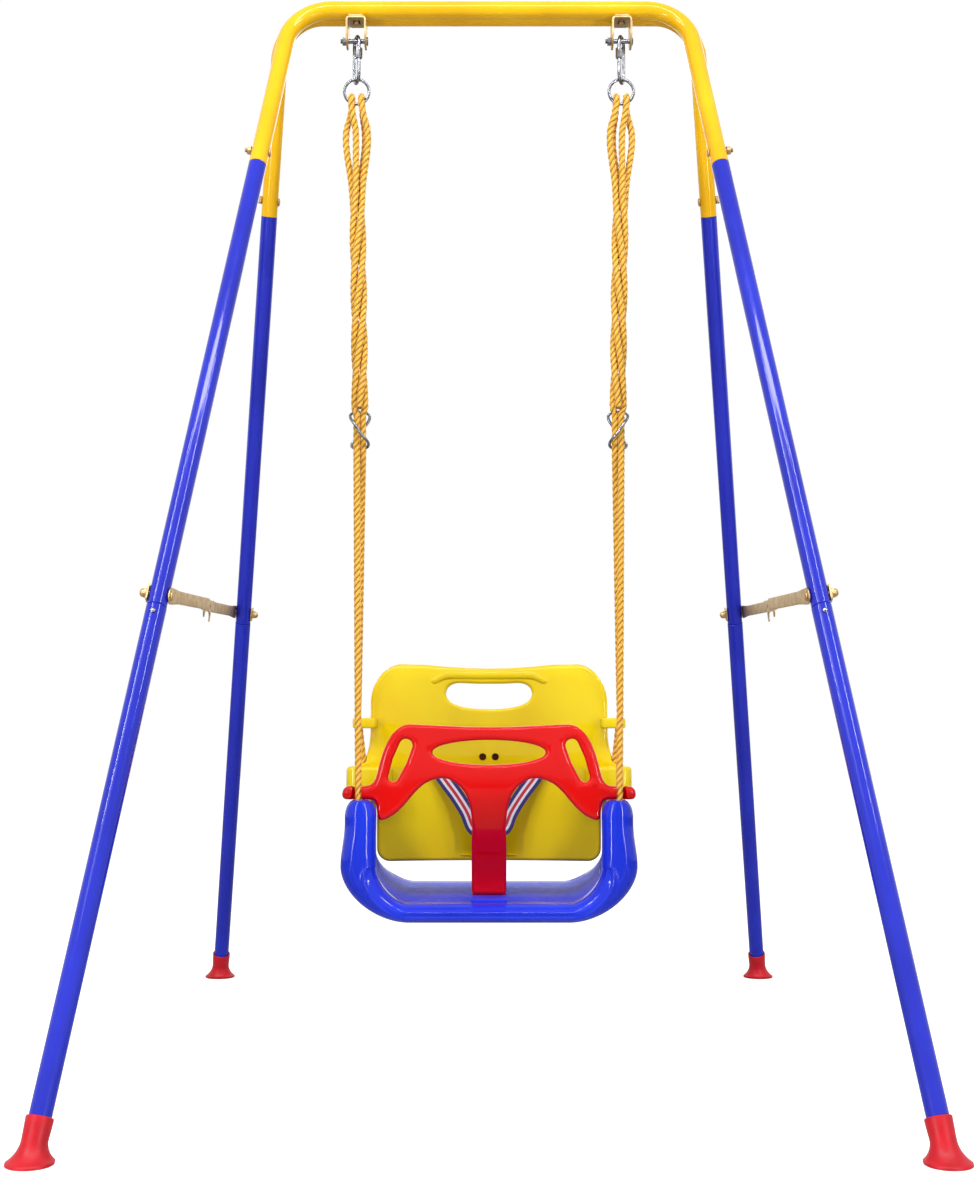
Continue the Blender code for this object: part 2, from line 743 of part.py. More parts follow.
def tube_clip(parent):
    """A flat strip bolted under the front tube that wraps round the rear tube and lets it turn."""
    inner = TUBE_RADIUS + GAP
    outer = inner + CLIP_THICKNESS
    tail = -BAR_OFFSET - STRAP_DEPTH / 2
    wrap = arc((BAR_OFFSET, 0), outer, -90, CLIP_WRAP_END, 14)
    back = arc((BAR_OFFSET, 0), inner, CLIP_WRAP_END, -90, 14)
    outline = [(tail, -outer)] + wrap + back + [(tail, -inner)]
    sideways = Matrix.Translation((HANG_X, 0, BAR_HEIGHT))
    sideways = sideways @ Matrix.Rotation(math.pi / 2, 4, "Z") @ Matrix.Rotation(math.pi / 2, 4, "X")
    clip = flat("tube_clip", [outline], CLIP_WIDTH, sideways)
    bolt = Matrix.Translation((HANG_X, HANG_Y, WEB_TOP))
    clip = hole(clip, HANGER_BOLT_RADIUS + HOLE_FIT, -0.004, 0.004, bolt)
    pair(clip, "zinc", parent, parent)


def hanger_bolt(parent):
    """The bolt up through the web and the clip into the front tube."""
    seat = WEB_TOP - STRAP_THICKNESS - GAP
    top = BAR_HEIGHT - TUBE_RADIUS + HANGER_BOLT_REACH
    profile = [
        (0, top),
        (HANGER_BOLT_RADIUS, top),
        (HANGER_BOLT_RADIUS, seat),
        (HANGER_HEAD_RADIUS, seat),
        (HANGER_HEAD_RADIUS, seat - HANGER_HEAD_HEIGHT * 0.5),
        (HANGER_HEAD_RADIUS * 0.7, seat - HANGER_HEAD_HEIGHT),
        (0, seat - HANGER_HEAD_HEIGHT),
    ]
    bolt = turned("hanger_bolt", profile, Matrix.Translation((HANG_X, HANG_Y, 0)), 12)
    pair(bolt, "zinc", parent, parent)


LINK_TOP = PIN_HEIGHT + PIN_RADIUS + GAP + 2 * LINK_WIRE
LINK_BOTTOM = LINK_TOP - LINK_LENGTH
LINK_SIDE = LINK_WIDTH / 2 - LINK_WIRE
LINK_MOUTH_Z = (LINK_TOP + LINK_BOTTOM) / 2 + LINK_MOUTH_ABOVE
RING_TOP_Z = LINK_BOTTOM + 2 * LINK_WIRE + GAP + RING_WIRE
RING_Z = RING_TOP_Z - RING_RADIUS
LOOP_HEIGHT = RING_Z - RING_RADIUS
FAN_HEIGHT = LOOP_HEIGHT - FAN_DROP
BUNDLE_HEIGHT = LOOP_HEIGHT - BUNDLE_DROP


def link_place():
    """The quick link's own place: local X across the link, turned a little to the front."""
    place = Matrix.Translation((HANG_X, HANG_Y, 0))
    return place @ Matrix.Rotation(math.radians(90 - LINK_TURN), 4, "Z")


def quick_link(parent):
    """An oval link of round wire with its mouth inside the sleeve."""
    centre_high = LINK_TOP - LINK_WIDTH / 2
    centre_low = LINK_BOTTOM + LINK_WIDTH / 2
    side = -LINK_SIDE
    outline = [(side, LINK_MOUTH_Z + LINK_MOUTH / 2)]
    outline += arc((0, centre_high), LINK_SIDE, 180, 0, 8)
    outline += arc((0, centre_low), LINK_SIDE, 0, -180, 8)
    outline.append((side, LINK_MOUTH_Z - LINK_MOUTH / 2))
    points = [link_place() @ Vector((x, 0, z)) for x, z in outline]
    pair(wire("quick_link", points, LINK_WIRE), "steel", parent, parent)


def link_sleeve(right_parent, left_parent):
    """The screwed sleeve that closes the link's mouth."""
    half = SLEEVE_LENGTH / 2
    bore = LINK_WIRE + GAP
    profile = [
        (SLEEVE_RADIUS, half),
        (SLEEVE_RADIUS, -half),
        (bore, -half),
        (bore, half),
    ]
    place = link_place() @ Matrix.Translation((-LINK_SIDE, 0, LINK_MOUTH_Z))
    pair(turned("link_sleeve", profile, place, 12), "steel", right_parent, left_parent)


def ring(parent):
    """The ring that hangs in the link and takes the ropes."""
    points = [
        Vector((HANG_X + x, HANG_Y, RING_Z + z)) for x, z in arc((0, 0), RING_RADIUS, 0, 360, 22)[:-1]
    ]
    pair(wire("rope_ring", points, RING_WIRE, closed=True), "steel", parent, parent)


ROPE_LOOP = ROPE_RADIUS + RING_WIRE + 0.0015
BUNDLE_RADIUS = (2 * ROPE_RADIUS + ROPE_GAP) / math.sqrt(2) + 0.0001
ADJUSTER_BOTTOM = ADJUSTER_TOP - ADJUSTER_HEIGHT
ADJUSTER_WEAVE = ROPE_RADIUS + ADJUSTER_WIRE + 0.0028


def ease(t):
    """A smooth step from 0 to 1."""
    t = min(max(t, 0.0), 1.0)
    return t * t * (3 - 2 * t)


def hang_x(height):
    """The line of the hanging ropes drifts inwards from the ring to the adjuster."""
    return ADJUSTER_X + (HANG_X - ADJUSTER_X) * ease((height - ADJUSTER_TOP) / 0.4)


# Each strand's offset across and along the swing where the four strands fan out under the ring
FAN = {
    "rear_stand": (-0.0150, -0.0045),
    "rear_tail": (-0.0105, 0.0065),
    "front_tail": (0.0008, -0.0030),
    "front_stand": (0.0145, 0.0030),
}
BUNDLE_ANGLE = {"front_stand": 15.0, "rear_tail": 105.0, "rear_stand": 195.0, "front_tail": 285.0}
LOOP_SIDE = {
    "rear_stand": (-LOOP_SPREAD, -ROPE_LOOP),
    "rear_tail": (-LOOP_SPREAD, ROPE_LOOP),
    "front_tail": (LOOP_SPREAD, -ROPE_LOOP),
    "front_stand": (LOOP_SPREAD, ROPE_LOOP),
}


def strand(name, height):
    """Where one of the four strands is at this height, between the adjuster and the ring."""
    turn = (BUNDLE_HEIGHT - height) / (BUNDLE_HEIGHT - ADJUSTER_TOP - 0.01)
    turn = min(max(turn, 0.0), 1.0)
    angle = math.radians(BUNDLE_ANGLE[name] + 360 * BUNDLE_TURNS * turn)
    bundle = Vector((math.cos(angle), math.sin(angle))) * BUNDLE_RADIUS
    if height > FAN_HEIGHT:
        share = ease((height - FAN_HEIGHT) / (LOOP_HEIGHT - FAN_HEIGHT))
        offset = Vector(FAN[name]).lerp(Vector(LOOP_SIDE[name]), share)
    else:
        share = ease((height - BUNDLE_HEIGHT) / (FAN_HEIGHT - BUNDLE_HEIGHT))
        offset = bundle.lerp(Vector(FAN[name]), share)
    return Vector((hang_x(height) + offset.x, HANG_Y + offset.y, height))


def loop_over_ring(name):
    """The half turn over the ring's lowest wire, from the standing strand to the tail."""
    across, depth = LOOP_SIDE[name]
    bottom = RING_Z - math.sqrt(RING_RADIUS**2 - across**2)
    points = []
    for step in range(1, 6):
        angle = math.pi * step / 6
        points.append(
            Vector(
                (
                    hang_x(bottom) + across,
                    HANG_Y + math.cos(angle) * depth,
                    bottom + math.sin(angle) * ROPE_LOOP,
                )
            )
        )
    return points


def rope_points(which, entry):
    """A rope's whole line: knot, seat hole, adjuster, bundle, ring and back down to the adjuster."""
    stand = which + "_stand"
    tail = which + "_tail"
    side = 1 if which == "front" else -1
    knot = entry + Vector((0, 0, -KNOT_HEIGHT))
    leave = Vector((ADJUSTER_X + side * ADJUSTER_SPREAD, HANG_Y, ADJUSTER_BOTTOM - 0.004))
    inner = Vector((leave.x, leave.y, ADJUSTER_TOP - 0.008))
    knots = [entry.lerp(leave, share / 18) for share in range(19)]
    if which == "rear":
        turn = Vector((REAR_TURN_X, REAR_TURN_Y, LUG_HEIGHT + REAR_TURN_ABOVE))
        knots = [entry.lerp(turn, share / 4) for share in range(4)]
        knots += [turn.lerp(leave, share / 14) for share in range(15)]
    points = [knot] + knots + [leave.lerp(inner, 0.5), inner]
    upward = 24
    for step in range(upward + 1):
        height = ADJUSTER_TOP + 0.002 + (LOOP_HEIGHT - ADJUSTER_TOP - 0.002) * step / upward
        points.append(strand(stand, height))
    points += loop_over_ring(stand)
    downward = 24
    end = ADJUSTER_TOP + 0.002
    for step in range(downward + 1):
        height = LOOP_HEIGHT + (end - LOOP_HEIGHT) * step / downward
        points.append(strand(tail, height))
    return points


def least_gap(first, second, skip=0):
    """The least distance between two point lines along their segments, less the rope's diameter."""
    least = 1.0
    for i, point in enumerate(first):
        for j in range(len(second) - 1):
            if first is second and abs(i - j) < skip:
                continue
            start = second[j]
            along = second[j + 1] - start
            t = (point - start).dot(along) / along.length_squared
            nearest = start + along * min(max(t, 0), 1)
            least = min(least, (point - nearest).length)
    return least - 2 * ROPE_RADIUS


def rope(which, entry, parent):
    """One rope with the knot that stops it under the top of the seat's arm."""
    points = rope_points(which, entry)
    line = wire(f"{which}_rope", points, ROPE_RADIUS)
    knot = turned(
        "knot",
        [(0, KNOT_RADIUS * 0.9)]
        + [(KNOT_RADIUS * x, KNOT_RADIUS * 0.9 * y) for x, y in arc((0, 0), 1, 65, -65, 5)]
        + [(0, -KNOT_RADIUS * 0.9)],
        Matrix.Translation(points[0]),
        10,
    )
    pair(combine(line, knot, "UNION"), "rope", parent, parent)
    return points


def adjuster(parent):
    """A figure-eight of wire that the two standing ropes run through."""
    count = 32
    points = []
    waist = ADJUSTER_TOP - ADJUSTER_HEIGHT * ADJUSTER_UPPER_SHARE
    for step in range(count):
        angle = math.tau * step / count
        swing = math.sin(2 * angle)
        upper = math.cos(angle) > 0
        half = ADJUSTER_UPPER if upper else ADJUSTER_LOWER
        reach = (ADJUSTER_TOP - waist) if upper else (waist - ADJUSTER_BOTTOM)
        x = swing * (half - ADJUSTER_WIRE) * 1.0
        z = waist + math.copysign(abs(math.cos(angle)) ** 0.8, math.cos(angle)) * (reach - ADJUSTER_WIRE)
        middle = abs(math.sin(angle)) ** 2
        y = ADJUSTER_WEAVE * (1 - 2 * middle) - (ADJUSTER_WIRE + GAP) * middle * (1 + math.sin(angle))
        points.append(Vector((ADJUSTER_X + x, HANG_Y + y, z)))
    pair(wire("rope_adjuster", points, ADJUSTER_WIRE, closed=True), "steel", parent, parent)


def outer_u(share):
    """The seat base's outer line in front view, from the arm's top at 0 to the middle at 1."""
    arm, corner = 0.35, 0.85
    if share < arm:
        height = ARM_TOP + (BULGE_HEIGHT - ARM_TOP) * share / arm
        swell = ease((BULGE_START - height) / (BULGE_START - BULGE_HEIGHT))
        return Vector((ARM_OUTER + (SEAT_OUTER - ARM_OUTER) * swell, height))
    if share < corner:
        angle = math.pi / 2 * (share - arm) / (corner - arm)
        across = math.cos(angle) ** (2 / CORNER_POWER)
        down = math.sin(angle) ** (2 / CORNER_POWER)
        return Vector(
            (
                SEAT_OUTER - CORNER_WIDTH * (1 - across),
                BULGE_HEIGHT - (BULGE_HEIGHT - SEAT_BOTTOM) * down,
            )
        )
    left = (1 - share) / (1 - corner)
    return Vector(((SEAT_OUTER - CORNER_WIDTH) * left, SEAT_BOTTOM))


def seat_section(wall):
    """The base's section as (y, depth share, depth extra): across from the outer line to the inner."""
    front = SEAT_FRONT + wall
    rear = SEAT_REAR - wall
    return [
        (rear - 0.006, 0, wall),
        (front + NOSE, 0, wall),
        (front + NOSE * 0.3, 0, wall + NOSE * 0.3),
        (front, 0, wall + NOSE),
        (front, 1, -wall - NOSE),
        (front + NOSE * 0.3, 1, -wall - NOSE * 0.3),
        (front + NOSE, 1, -wall),
        (rear - 0.008, 1, -wall),
        (rear, 1, -wall - 0.007),
        (rear, 0, wall + 0.006),
    ]


def thickness_at(y, share=0.0):
    """The arms are thicker at the front than at the rear, and thin down to the pan."""
    back = (y - SEAT_FRONT) / (SEAT_REAR - SEAT_FRONT)
    arm = FRONT_THICKNESS + (REAR_THICKNESS - FRONT_THICKNESS) * back
    return arm + (PAN_THICKNESS - arm) * ease((share - 0.40) / 0.45)


def seat_shares():
    """The places along the outer line where the base has a section, right half, top first."""
    shares = [0.35 * step / ARM_STEPS for step in range(ARM_STEPS)]
    shares += [0.35 + 0.50 * step / CORNER_STEPS for step in range(CORNER_STEPS)]
    shares += [0.85 + 0.15 * step / PAN_STEPS for step in range(PAN_STEPS)]
    return shares


def seat_body(name, wall):
    """The base's closed form: sections lofted along the U, drawn in to a dome on top of each arm."""
    stations = []
    dome = ARM_DOME - wall * 0.4
    for drop, narrow in ((0.0, 0.30), (0.10, 0.62), (0.40, 0.90)):
        stations.append((ARM_TOP - wall - dome * drop, narrow))
    sections = []
    for height, narrow in stations:
        row = []
        for y, share, extra in seat_section(wall):
            thick = thickness_at(y)
            depth = thick / 2 + (share * thick + extra - thick / 2) * narrow
            row.append(Vector((ARM_OUTER - depth, y, height)))
        sections.append(row)
    for share in seat_shares():
        here = outer_u(share)
        if here.y > ARM_TOP - wall - dome:
            here = Vector((here.x, ARM_TOP - wall - dome))
        ahead = outer_u(share + 0.01) - outer_u(max(share - 0.01, 0.0))
        normal = Vector((-abs(ahead.y), abs(ahead.x))).normalized()
        row = []
        for y, part, extra in seat_section(wall):
            depth = part * thickness_at(y, share) + extra
            row.append(Vector((here.x + normal.x * depth, y, here.y + normal.y * depth)))
        sections.append(row)
    middle = []
    for y, part, extra in seat_section(wall):
        middle.append(Vector((0, y, SEAT_BOTTOM + part * thickness_at(y, 1) + extra)))
    rows = sections + [middle] + [[MIRROR @ v for v in row] for row in reversed(sections)]
    mesh = bpy.data.meshes.new(name)
    shape = bmesh.new()
    rings = [[shape.verts.new(point) for point in row] for row in rows]
    for first, second in zip(rings, rings[1:]):
        for index, corner in enumerate(first):
            after = (index + 1) % len(first)
            shape.faces.new((corner, first[after], second[after], second[index]))
    shape.faces.new(list(reversed(rings[0])))
    shape.faces.new(rings[-1])
    bmesh.ops.recalc_face_normals(shape, faces=shape.faces)
    shape.to_mesh(mesh)
    shape.free()
    for face in mesh.polygons:
        face.use_smooth = True
    return add_object(name, mesh)


def rope_entry(which):
    """Where a rope's line meets the top of the right arm."""
    if which == "front":
        return Vector((FRONT_ROPE_X, FRONT_ROPE_Y, ARM_TOP))
    return Vector((REAR_ROPE_X, REAR_ROPE_Y, ARM_TOP))


def seat_base(parent):
    """The hollow base, with rope holes in its arms and a slot behind the front lip for the guard."""
    base = combine(seat_body("seat_base", 0), seat_body("hollow_cutter", SEAT_WALL), "DIFFERENCE")
    for which in ("front", "rear"):
        entry = rope_entry(which)
        place = Matrix.Translation(entry)
        base = both_sides_hole(base, ROPE_HOLE_RADIUS, SEAT_WALL + 0.008, place)
    half = TONGUE_HALF + POST_SLOT_FIT
    front = POST_Y - TONGUE_THICKNESS / 2 - POST_SLOT_FIT
    rear = POST_Y + TONGUE_THICKNESS / 2 + POST_SLOT_FIT + TONGUE_BACK
    slot = block("slot_cutter", (-half, front, PAN_TOP - 0.01), (half, rear, PAN_TOP + 0.01))
    base = combine(base, slot, "DIFFERENCE")
    give(base, "blue plastic", parent)


def bow_y(centre_y, side_y, half_span, x):
    """How far back a bowed slab's middle surface lies at this x."""
    return centre_y + (side_y - centre_y) * (x / half_span) ** 2


def bowed_slab(name, centre_y, side_y, half_span, thickness, low, high, steps=14):
    """An upright slab whose plan is a shallow arc through the centre and both sides."""
    rise = abs(side_y - centre_y)
    radius = (half_span**2 + rise**2) / (2 * rise)
    sign = 1 if side_y < centre_y else -1
    middle = centre_y - sign * radius
    sweep = math.degrees(math.asin(half_span / radius)) * 1.02
    outline = arc((0, middle), radius + thickness / 2, 90 * sign - sweep, 90 * sign + sweep, steps)
    outline += arc((0, middle), radius - thickness / 2, 90 * sign + sweep, 90 * sign - sweep, steps)
    place = Matrix.Translation((0, 0, (low + high) / 2))
    return flat(name, [outline], high - low, place)


def upright(outlines, name, depth, y=0.0):
    """A cutter whose outlines lie in the front view, this deep along Y."""
    place = Matrix.Translation((0, y, 0)) @ Matrix.Rotation(math.pi / 2, 4, "X")
    return flat(name, outlines, depth, place)


def back_outline():
    """The backrest's right half in front view: dip, shoulder, waist and rounded lower corner."""
    half = [(0.0, BACK_TOP - BACK_DIP), (0.05, BACK_TOP - BACK_DIP * 0.7)]
    centre = (BACK_HALF_WIDTH - BACK_SHOULDER_X, BACK_TOP - BACK_SHOULDER_Z)
    for x, y in arc((0, 0), 1, 90, 0, 7):
        half.append((centre[0] + x * BACK_SHOULDER_X, centre[1] + y * BACK_SHOULDER_Z))
    half.append((BACK_HALF_WIDTH, WING_TOP))
    half.append((BACK_LOWER_HALF, BACK_WAIST))
    half += arc(
        (BACK_LOWER_HALF - BACK_CORNER, BACK_BOTTOM + BACK_CORNER), BACK_CORNER, 0, -90, 4
    )
    half.append((0.0, BACK_BOTTOM))
    return mirrored_outline(half)


def handle_outline():
    """The hand hole: flat on top, rounded ends and a bowed lower edge."""
    radius = (HANDLE_TOP - HANDLE_BOTTOM) * 0.42
    centre = (HANDLE_HALF_WIDTH - radius, HANDLE_TOP - radius)
    half = [(0.0, HANDLE_TOP)] + arc(centre, radius, 90, -50, 6)
    half.append((HANDLE_HALF_WIDTH * 0.45, HANDLE_BOTTOM + 0.002))
    half.append((0.0, HANDLE_BOTTOM))
    return mirrored_outline(half)


def rounded_box(name, low, high, radius):
    """A box with its upright edges rounded."""
    outline = []
    corners = (
        (high[0], high[1], 0),
        (low[0], high[1], 90),
        (low[0], low[1], 180),
        (high[0], low[1], 270),
    )
    for x, y, start in corners:
        centre = (
            x - math.copysign(radius, x - (low[0] + high[0]) / 2),
            y - math.copysign(radius, y - (low[1] + high[1]) / 2),
        )
        outline += arc(centre, radius, start, start + 90, 4)
    place = Matrix.Translation((0, 0, (low[2] + high[2]) / 2))
    return flat(name, [outline], high[2] - low[2], place)


def rear_line(height):
    """The rear rope's centre at this height, below the adjuster."""
    low = rope_entry("rear")
    high = Vector((REAR_TURN_X, REAR_TURN_Y, LUG_HEIGHT + REAR_TURN_ABOVE))
    return low.lerp(high, (height - low.z) / (high.z - low.z))


def slanted_hole(obj, radius, low, high):
    """A hole that follows the right rear rope between two heights, and its mirror image."""
    start = rear_line(low)
    end = rear_line(high)
    matrix = frame_matrix(start, end - start, Vector((1, 0, 0)))
    length = (end - start).length
    obj = hole(obj, radius, 0, length, matrix)
    return hole(obj, radius, 0, length, MIRROR @ matrix)


def backrest(parent):
    """The backrest with its wings on the base's arms and its lugs on the rear ropes."""
    slab = bowed_slab(
        "backrest",
        BACK_CENTRE_Y - BACK_THICKNESS / 2,
        BACK_SIDE_Y,
        BACK_HALF_WIDTH,
        BACK_THICKNESS,
        BACK_BOTTOM - 0.02,
        BACK_TOP + 0.02,
    )
    slots = []
    for side in (-1, 1):
        w, h = BELT_SLOT_WIDTH / 2, BELT_SLOT_HEIGHT / 2
        x, z = side * BELT_SLOT_X, BELT_SLOT_Z
        slots.append([(x - w, z - h), (x + w, z - h), (x + w, z + h), (x - w, z + h)])
    shape = upright([back_outline(), handle_outline()] + slots, "back_shape", 0.3)
    back = combine(slab, shape, "INTERSECT")
    for side in (-1, 1):
        face = Matrix.Translation((side * VENT_X, BACK_CENTRE_Y - BACK_THICKNESS, VENT_Z))
        back = hole(back, VENT_RADIUS, -0.01, VENT_DEPTH, face @ Matrix.Rotation(-math.pi / 2, 4, "X"))
    for side in (-1, 1):
        inner = side * WING_INNER
        outer = side * WING_OUTER
        low = (min(inner, outer), WING_FRONT, ARM_TOP + GAP)
        high = (max(inner, outer), WING_REAR, WING_TOP)
        back = combine(back, rounded_box("wing", low, high, WING_ROUND), "UNION")
        lug = rear_line(LUG_HEIGHT)
        stem_x = BACK_HALF_WIDTH - 0.010
        low_x, high_x = sorted((side * stem_x, side * (lug.x + LUG_RADIUS)))
        stem = rounded_box(
            "lug",
            (low_x, lug.y - LUG_RADIUS, LUG_HEIGHT - LUG_THICKNESS / 2),
            (high_x, BACK_SIDE_Y + BACK_THICKNESS / 3, LUG_HEIGHT + LUG_THICKNESS / 2),
            LUG_RADIUS * 0.8,
        )
        back = combine(back, stem, "UNION")
    back = slanted_hole(back, ROPE_RADIUS + 0.0010, ARM_TOP - 0.005, LUG_HEIGHT + 0.04)
    give(back, "yellow plastic", parent)


def bent_post(guard):
    """Sweeps the guard's post back from its plate to the slot in the pan."""
    guard.data.transform(guard.matrix_world)
    guard.matrix_world = Matrix()
    shape = bmesh.new()
    shape.from_mesh(guard.data)
    for step in range(1, 7):
        level = GUARD_BEND_HEIGHT + (PAN_TOP - GUARD_BEND_HEIGHT) * step / 7
        geometry = shape.verts[:] + shape.edges[:] + shape.faces[:]
        bmesh.ops.bisect_plane(
            shape, geom=geometry, dist=1e-6, plane_co=(0, 0, level), plane_no=(0, 0, 1)
        )
    for vertex in shape.verts:
        if abs(vertex.co.x) < GUARD_BEND_HALF and vertex.co.z < GUARD_BEND_HEIGHT:
            share = (GUARD_BEND_HEIGHT - vertex.co.z) / (GUARD_BEND_HEIGHT - PAN_TOP)
            vertex.co.y += (POST_Y - GUARD_CENTRE_Y) * ease(share)
    shape.to_mesh(guard.data)
    shape.free()
    return guard


def guard_outline():
    """The guard's right half in front view: bar, shoulder, arm, leg arch and centre post."""
    arm = GUARD_ARM_TOP
    top_corner = (GUARD_ARM_HALF - 0.009, arm - 0.009)
    half = [(0.0, GUARD_TOP - GUARD_DIP), (0.0550, GUARD_TOP - GUARD_DIP * 0.55), (0.1046, GUARD_TOP)]
    half += [(0.1151, GUARD_TOP - 0.0072), (0.1229, GUARD_TOP - 0.0164), (0.1294, GUARD_TOP - 0.0294)]
    half += [(0.1347, GUARD_TOP - 0.0451), (0.1386, arm + 0.0161), (0.1438, arm + 0.0043)]
    half += [(0.1530, arm)] + arc(top_corner, 0.009, 90, 0, 3)
    half += [(GUARD_ARM_HALF, ARM_TOP + GAP), (0.1412, ARM_TOP + GAP), (0.1386, 0.3130)]
    half += [(0.1375, 0.3022), (0.1190, 0.3088), (0.1059, 0.3205), (0.0928, 0.3362), (0.0798, 0.3480)]
    half += [(0.0641, 0.3545), (0.0549, 0.3551), (0.0458, 0.3519), (0.0353, 0.3441), (0.0275, 0.3323)]
    half += [(0.0235, 0.3192), (0.0217, 0.3035), (GUARD_POST_HALF - 0.0010, 0.2900)]
    half += [(GUARD_POST_HALF, 0.2722), (GUARD_POST_HALF, PAN_TOP + GAP), (0.0, PAN_TOP + GAP)]
    return mirrored_outline(half)


def guard_holes():
    """The lens-shaped hole in the middle and the slanted one in each shoulder."""
    lens = []
    for x, y in arc((0, 0), 1, 0, 360, 24)[:-1]:
        lens.append((x * GUARD_OVAL_HALF_WIDTH, GUARD_OVAL_Z + y * GUARD_OVAL_HALF_HEIGHT))
    holes = [lens]
    for side in (-1, 1):
        top = arc((0.1030, 0.3956), 0.0081, 22, 202, 5)
        low = arc((0.1187, 0.3564), 0.0063, 202, 382, 5)
        slot = top + low
        holes.append([(side * x, z) for x, z in slot])
    return holes


def front_guard(parent):
    """The front guard: a bowed plate on the arms and in the base's slot, grooved for the ropes."""
    slab = bowed_slab(
        "front_guard",
        GUARD_CENTRE_Y,
        GUARD_SIDE_Y,
        GUARD_ARM_HALF,
        GUARD_THICKNESS,
        PAN_TOP - 0.02,
        GUARD_TOP + 0.02,
    )
    shape = upright([guard_outline()] + guard_holes(), "guard_shape", 0.4)
    guard = bent_post(combine(slab, shape, "INTERSECT"))
    half = TONGUE_THICKNESS / 2
    tongue = block(
        "tongue",
        (-TONGUE_HALF, POST_Y - half, PAN_TOP - TONGUE_DEPTH),
        (TONGUE_HALF, POST_Y + half, PAN_TOP + 0.004),
    )
    guard = combine(guard, tongue, "UNION")
    points = rope_points("front", rope_entry("front"))
    low, high = points[1], points[19]
    direction = (high - low).normalized()
    aside = Matrix.Translation((GUARD_GROOVE_SHIFT, 0, 0))
    matrix = frame_matrix(low - direction * 0.02, direction, Vector((1, 0, 0))) @ aside
    half = GUARD_GROOVE_MOUTH
    for flip in (Matrix(), MIRROR):
        guard = hole(guard, GUARD_GROOVE_RADIUS, 0, 0.09, flip @ matrix)
        opener = block("groove_opener", (-half, -0.03, -0.02), (half, 0.0, 0.09), flip @ matrix)
        guard = combine(guard, opener, "DIFFERENCE")
    give(guard, "red plastic", parent)


def harness(parent):
    """Two webbing straps from the backrest's slots down to the buckle on the seat."""
    middle = BACK_CENTRE_Y - BACK_THICKNESS / 2
    front_face = bow_y(middle, BACK_SIDE_Y, BACK_HALF_WIDTH, BELT_SLOT_X) - BACK_THICKNESS / 2
    knots = [
        Vector((BELT_SLOT_X, front_face + 0.010, BELT_SLOT_Z)),
        Vector((BELT_SLOT_X, front_face - 0.003, BELT_SLOT_Z - 0.0006)),
        Vector((BELT_SLOT_X - 0.003, front_face - 0.008, BELT_SLOT_Z - 0.008)),
        Vector((BELT_SLOT_X - 0.014, front_face - 0.012, BELT_SLOT_Z - 0.028)),
        Vector((BELT_SLOT_X - 0.036, front_face - 0.018, BELT_SLOT_Z - 0.062)),
        Vector((0.0145, front_face - 0.028, BUCKLE_Z + BUCKLE_HEIGHT / 2 + 0.0076)),
    ]
    line = smooth_curve(knots, 3)
    mesh = bpy.data.meshes.new("harness_strap")
    shape = bmesh.new()
    rows = []
    for index, point in enumerate(line):
        ahead = line[min(index + 1, len(line) - 1)] - line[max(index - 1, 0)]
        ahead.normalize()
        side = ahead.cross(Vector((0, -1, 0)))
        side = side.normalized() if side.length > 0.3 else Vector((1, 0, 0))
        if side.x < 0:
            side = -side
        up = side.cross(ahead).normalized()
        half = side * WEB_WIDTH / 2
        thick = up * WEB_THICKNESS / 2
        corners = (point + half + thick, point - half + thick, point - half - thick, point + half - thick)
        rows.append([shape.verts.new(corner) for corner in corners])
    for first, second in zip(rows, rows[1:]):
        for index in range(4):
            after = (index + 1) % 4
            shape.faces.new((first[index], first[after], second[after], second[index]))
    shape.faces.new(list(reversed(rows[0])))
    shape.faces.new(rows[-1])
    bmesh.ops.recalc_face_normals(shape, faces=shape.faces)
    shape.to_mesh(mesh)
    shape.free()
    pair(add_object("harness_strap", mesh), "webbing", parent, parent)
    centre_y = front_face - 0.030
    low = (-BUCKLE_WIDTH / 2, centre_y - BUCKLE_DEPTH / 2, BUCKLE_Z - BUCKLE_HEIGHT / 2)
    high = (BUCKLE_WIDTH / 2, centre_y + BUCKLE_DEPTH / 2, BUCKLE_Z + BUCKLE_HEIGHT / 2)
    give(rounded_box("harness_buckle", low, high, BUCKLE_DEPTH * 0.4), "black plastic", parent)


def brace_frame(frame):
    """Local X from the leg's pivot towards the other leg, local Z outwards along the pivot."""
    return frame_matrix(frame.at(frame.pivot), frame.axis, brace_direction(frame))


def brace_direction(frame):
    """From this frame's pivot to the other frame's."""
    other = REAR if frame is FRONT else FRONT
    return other.at(other.pivot) - frame.at(frame.pivot)


def flat_distance():
    """The distance between the two pivots in side view."""
    span = brace_direction(FRONT)
    return math.hypot(span.y, span.z)


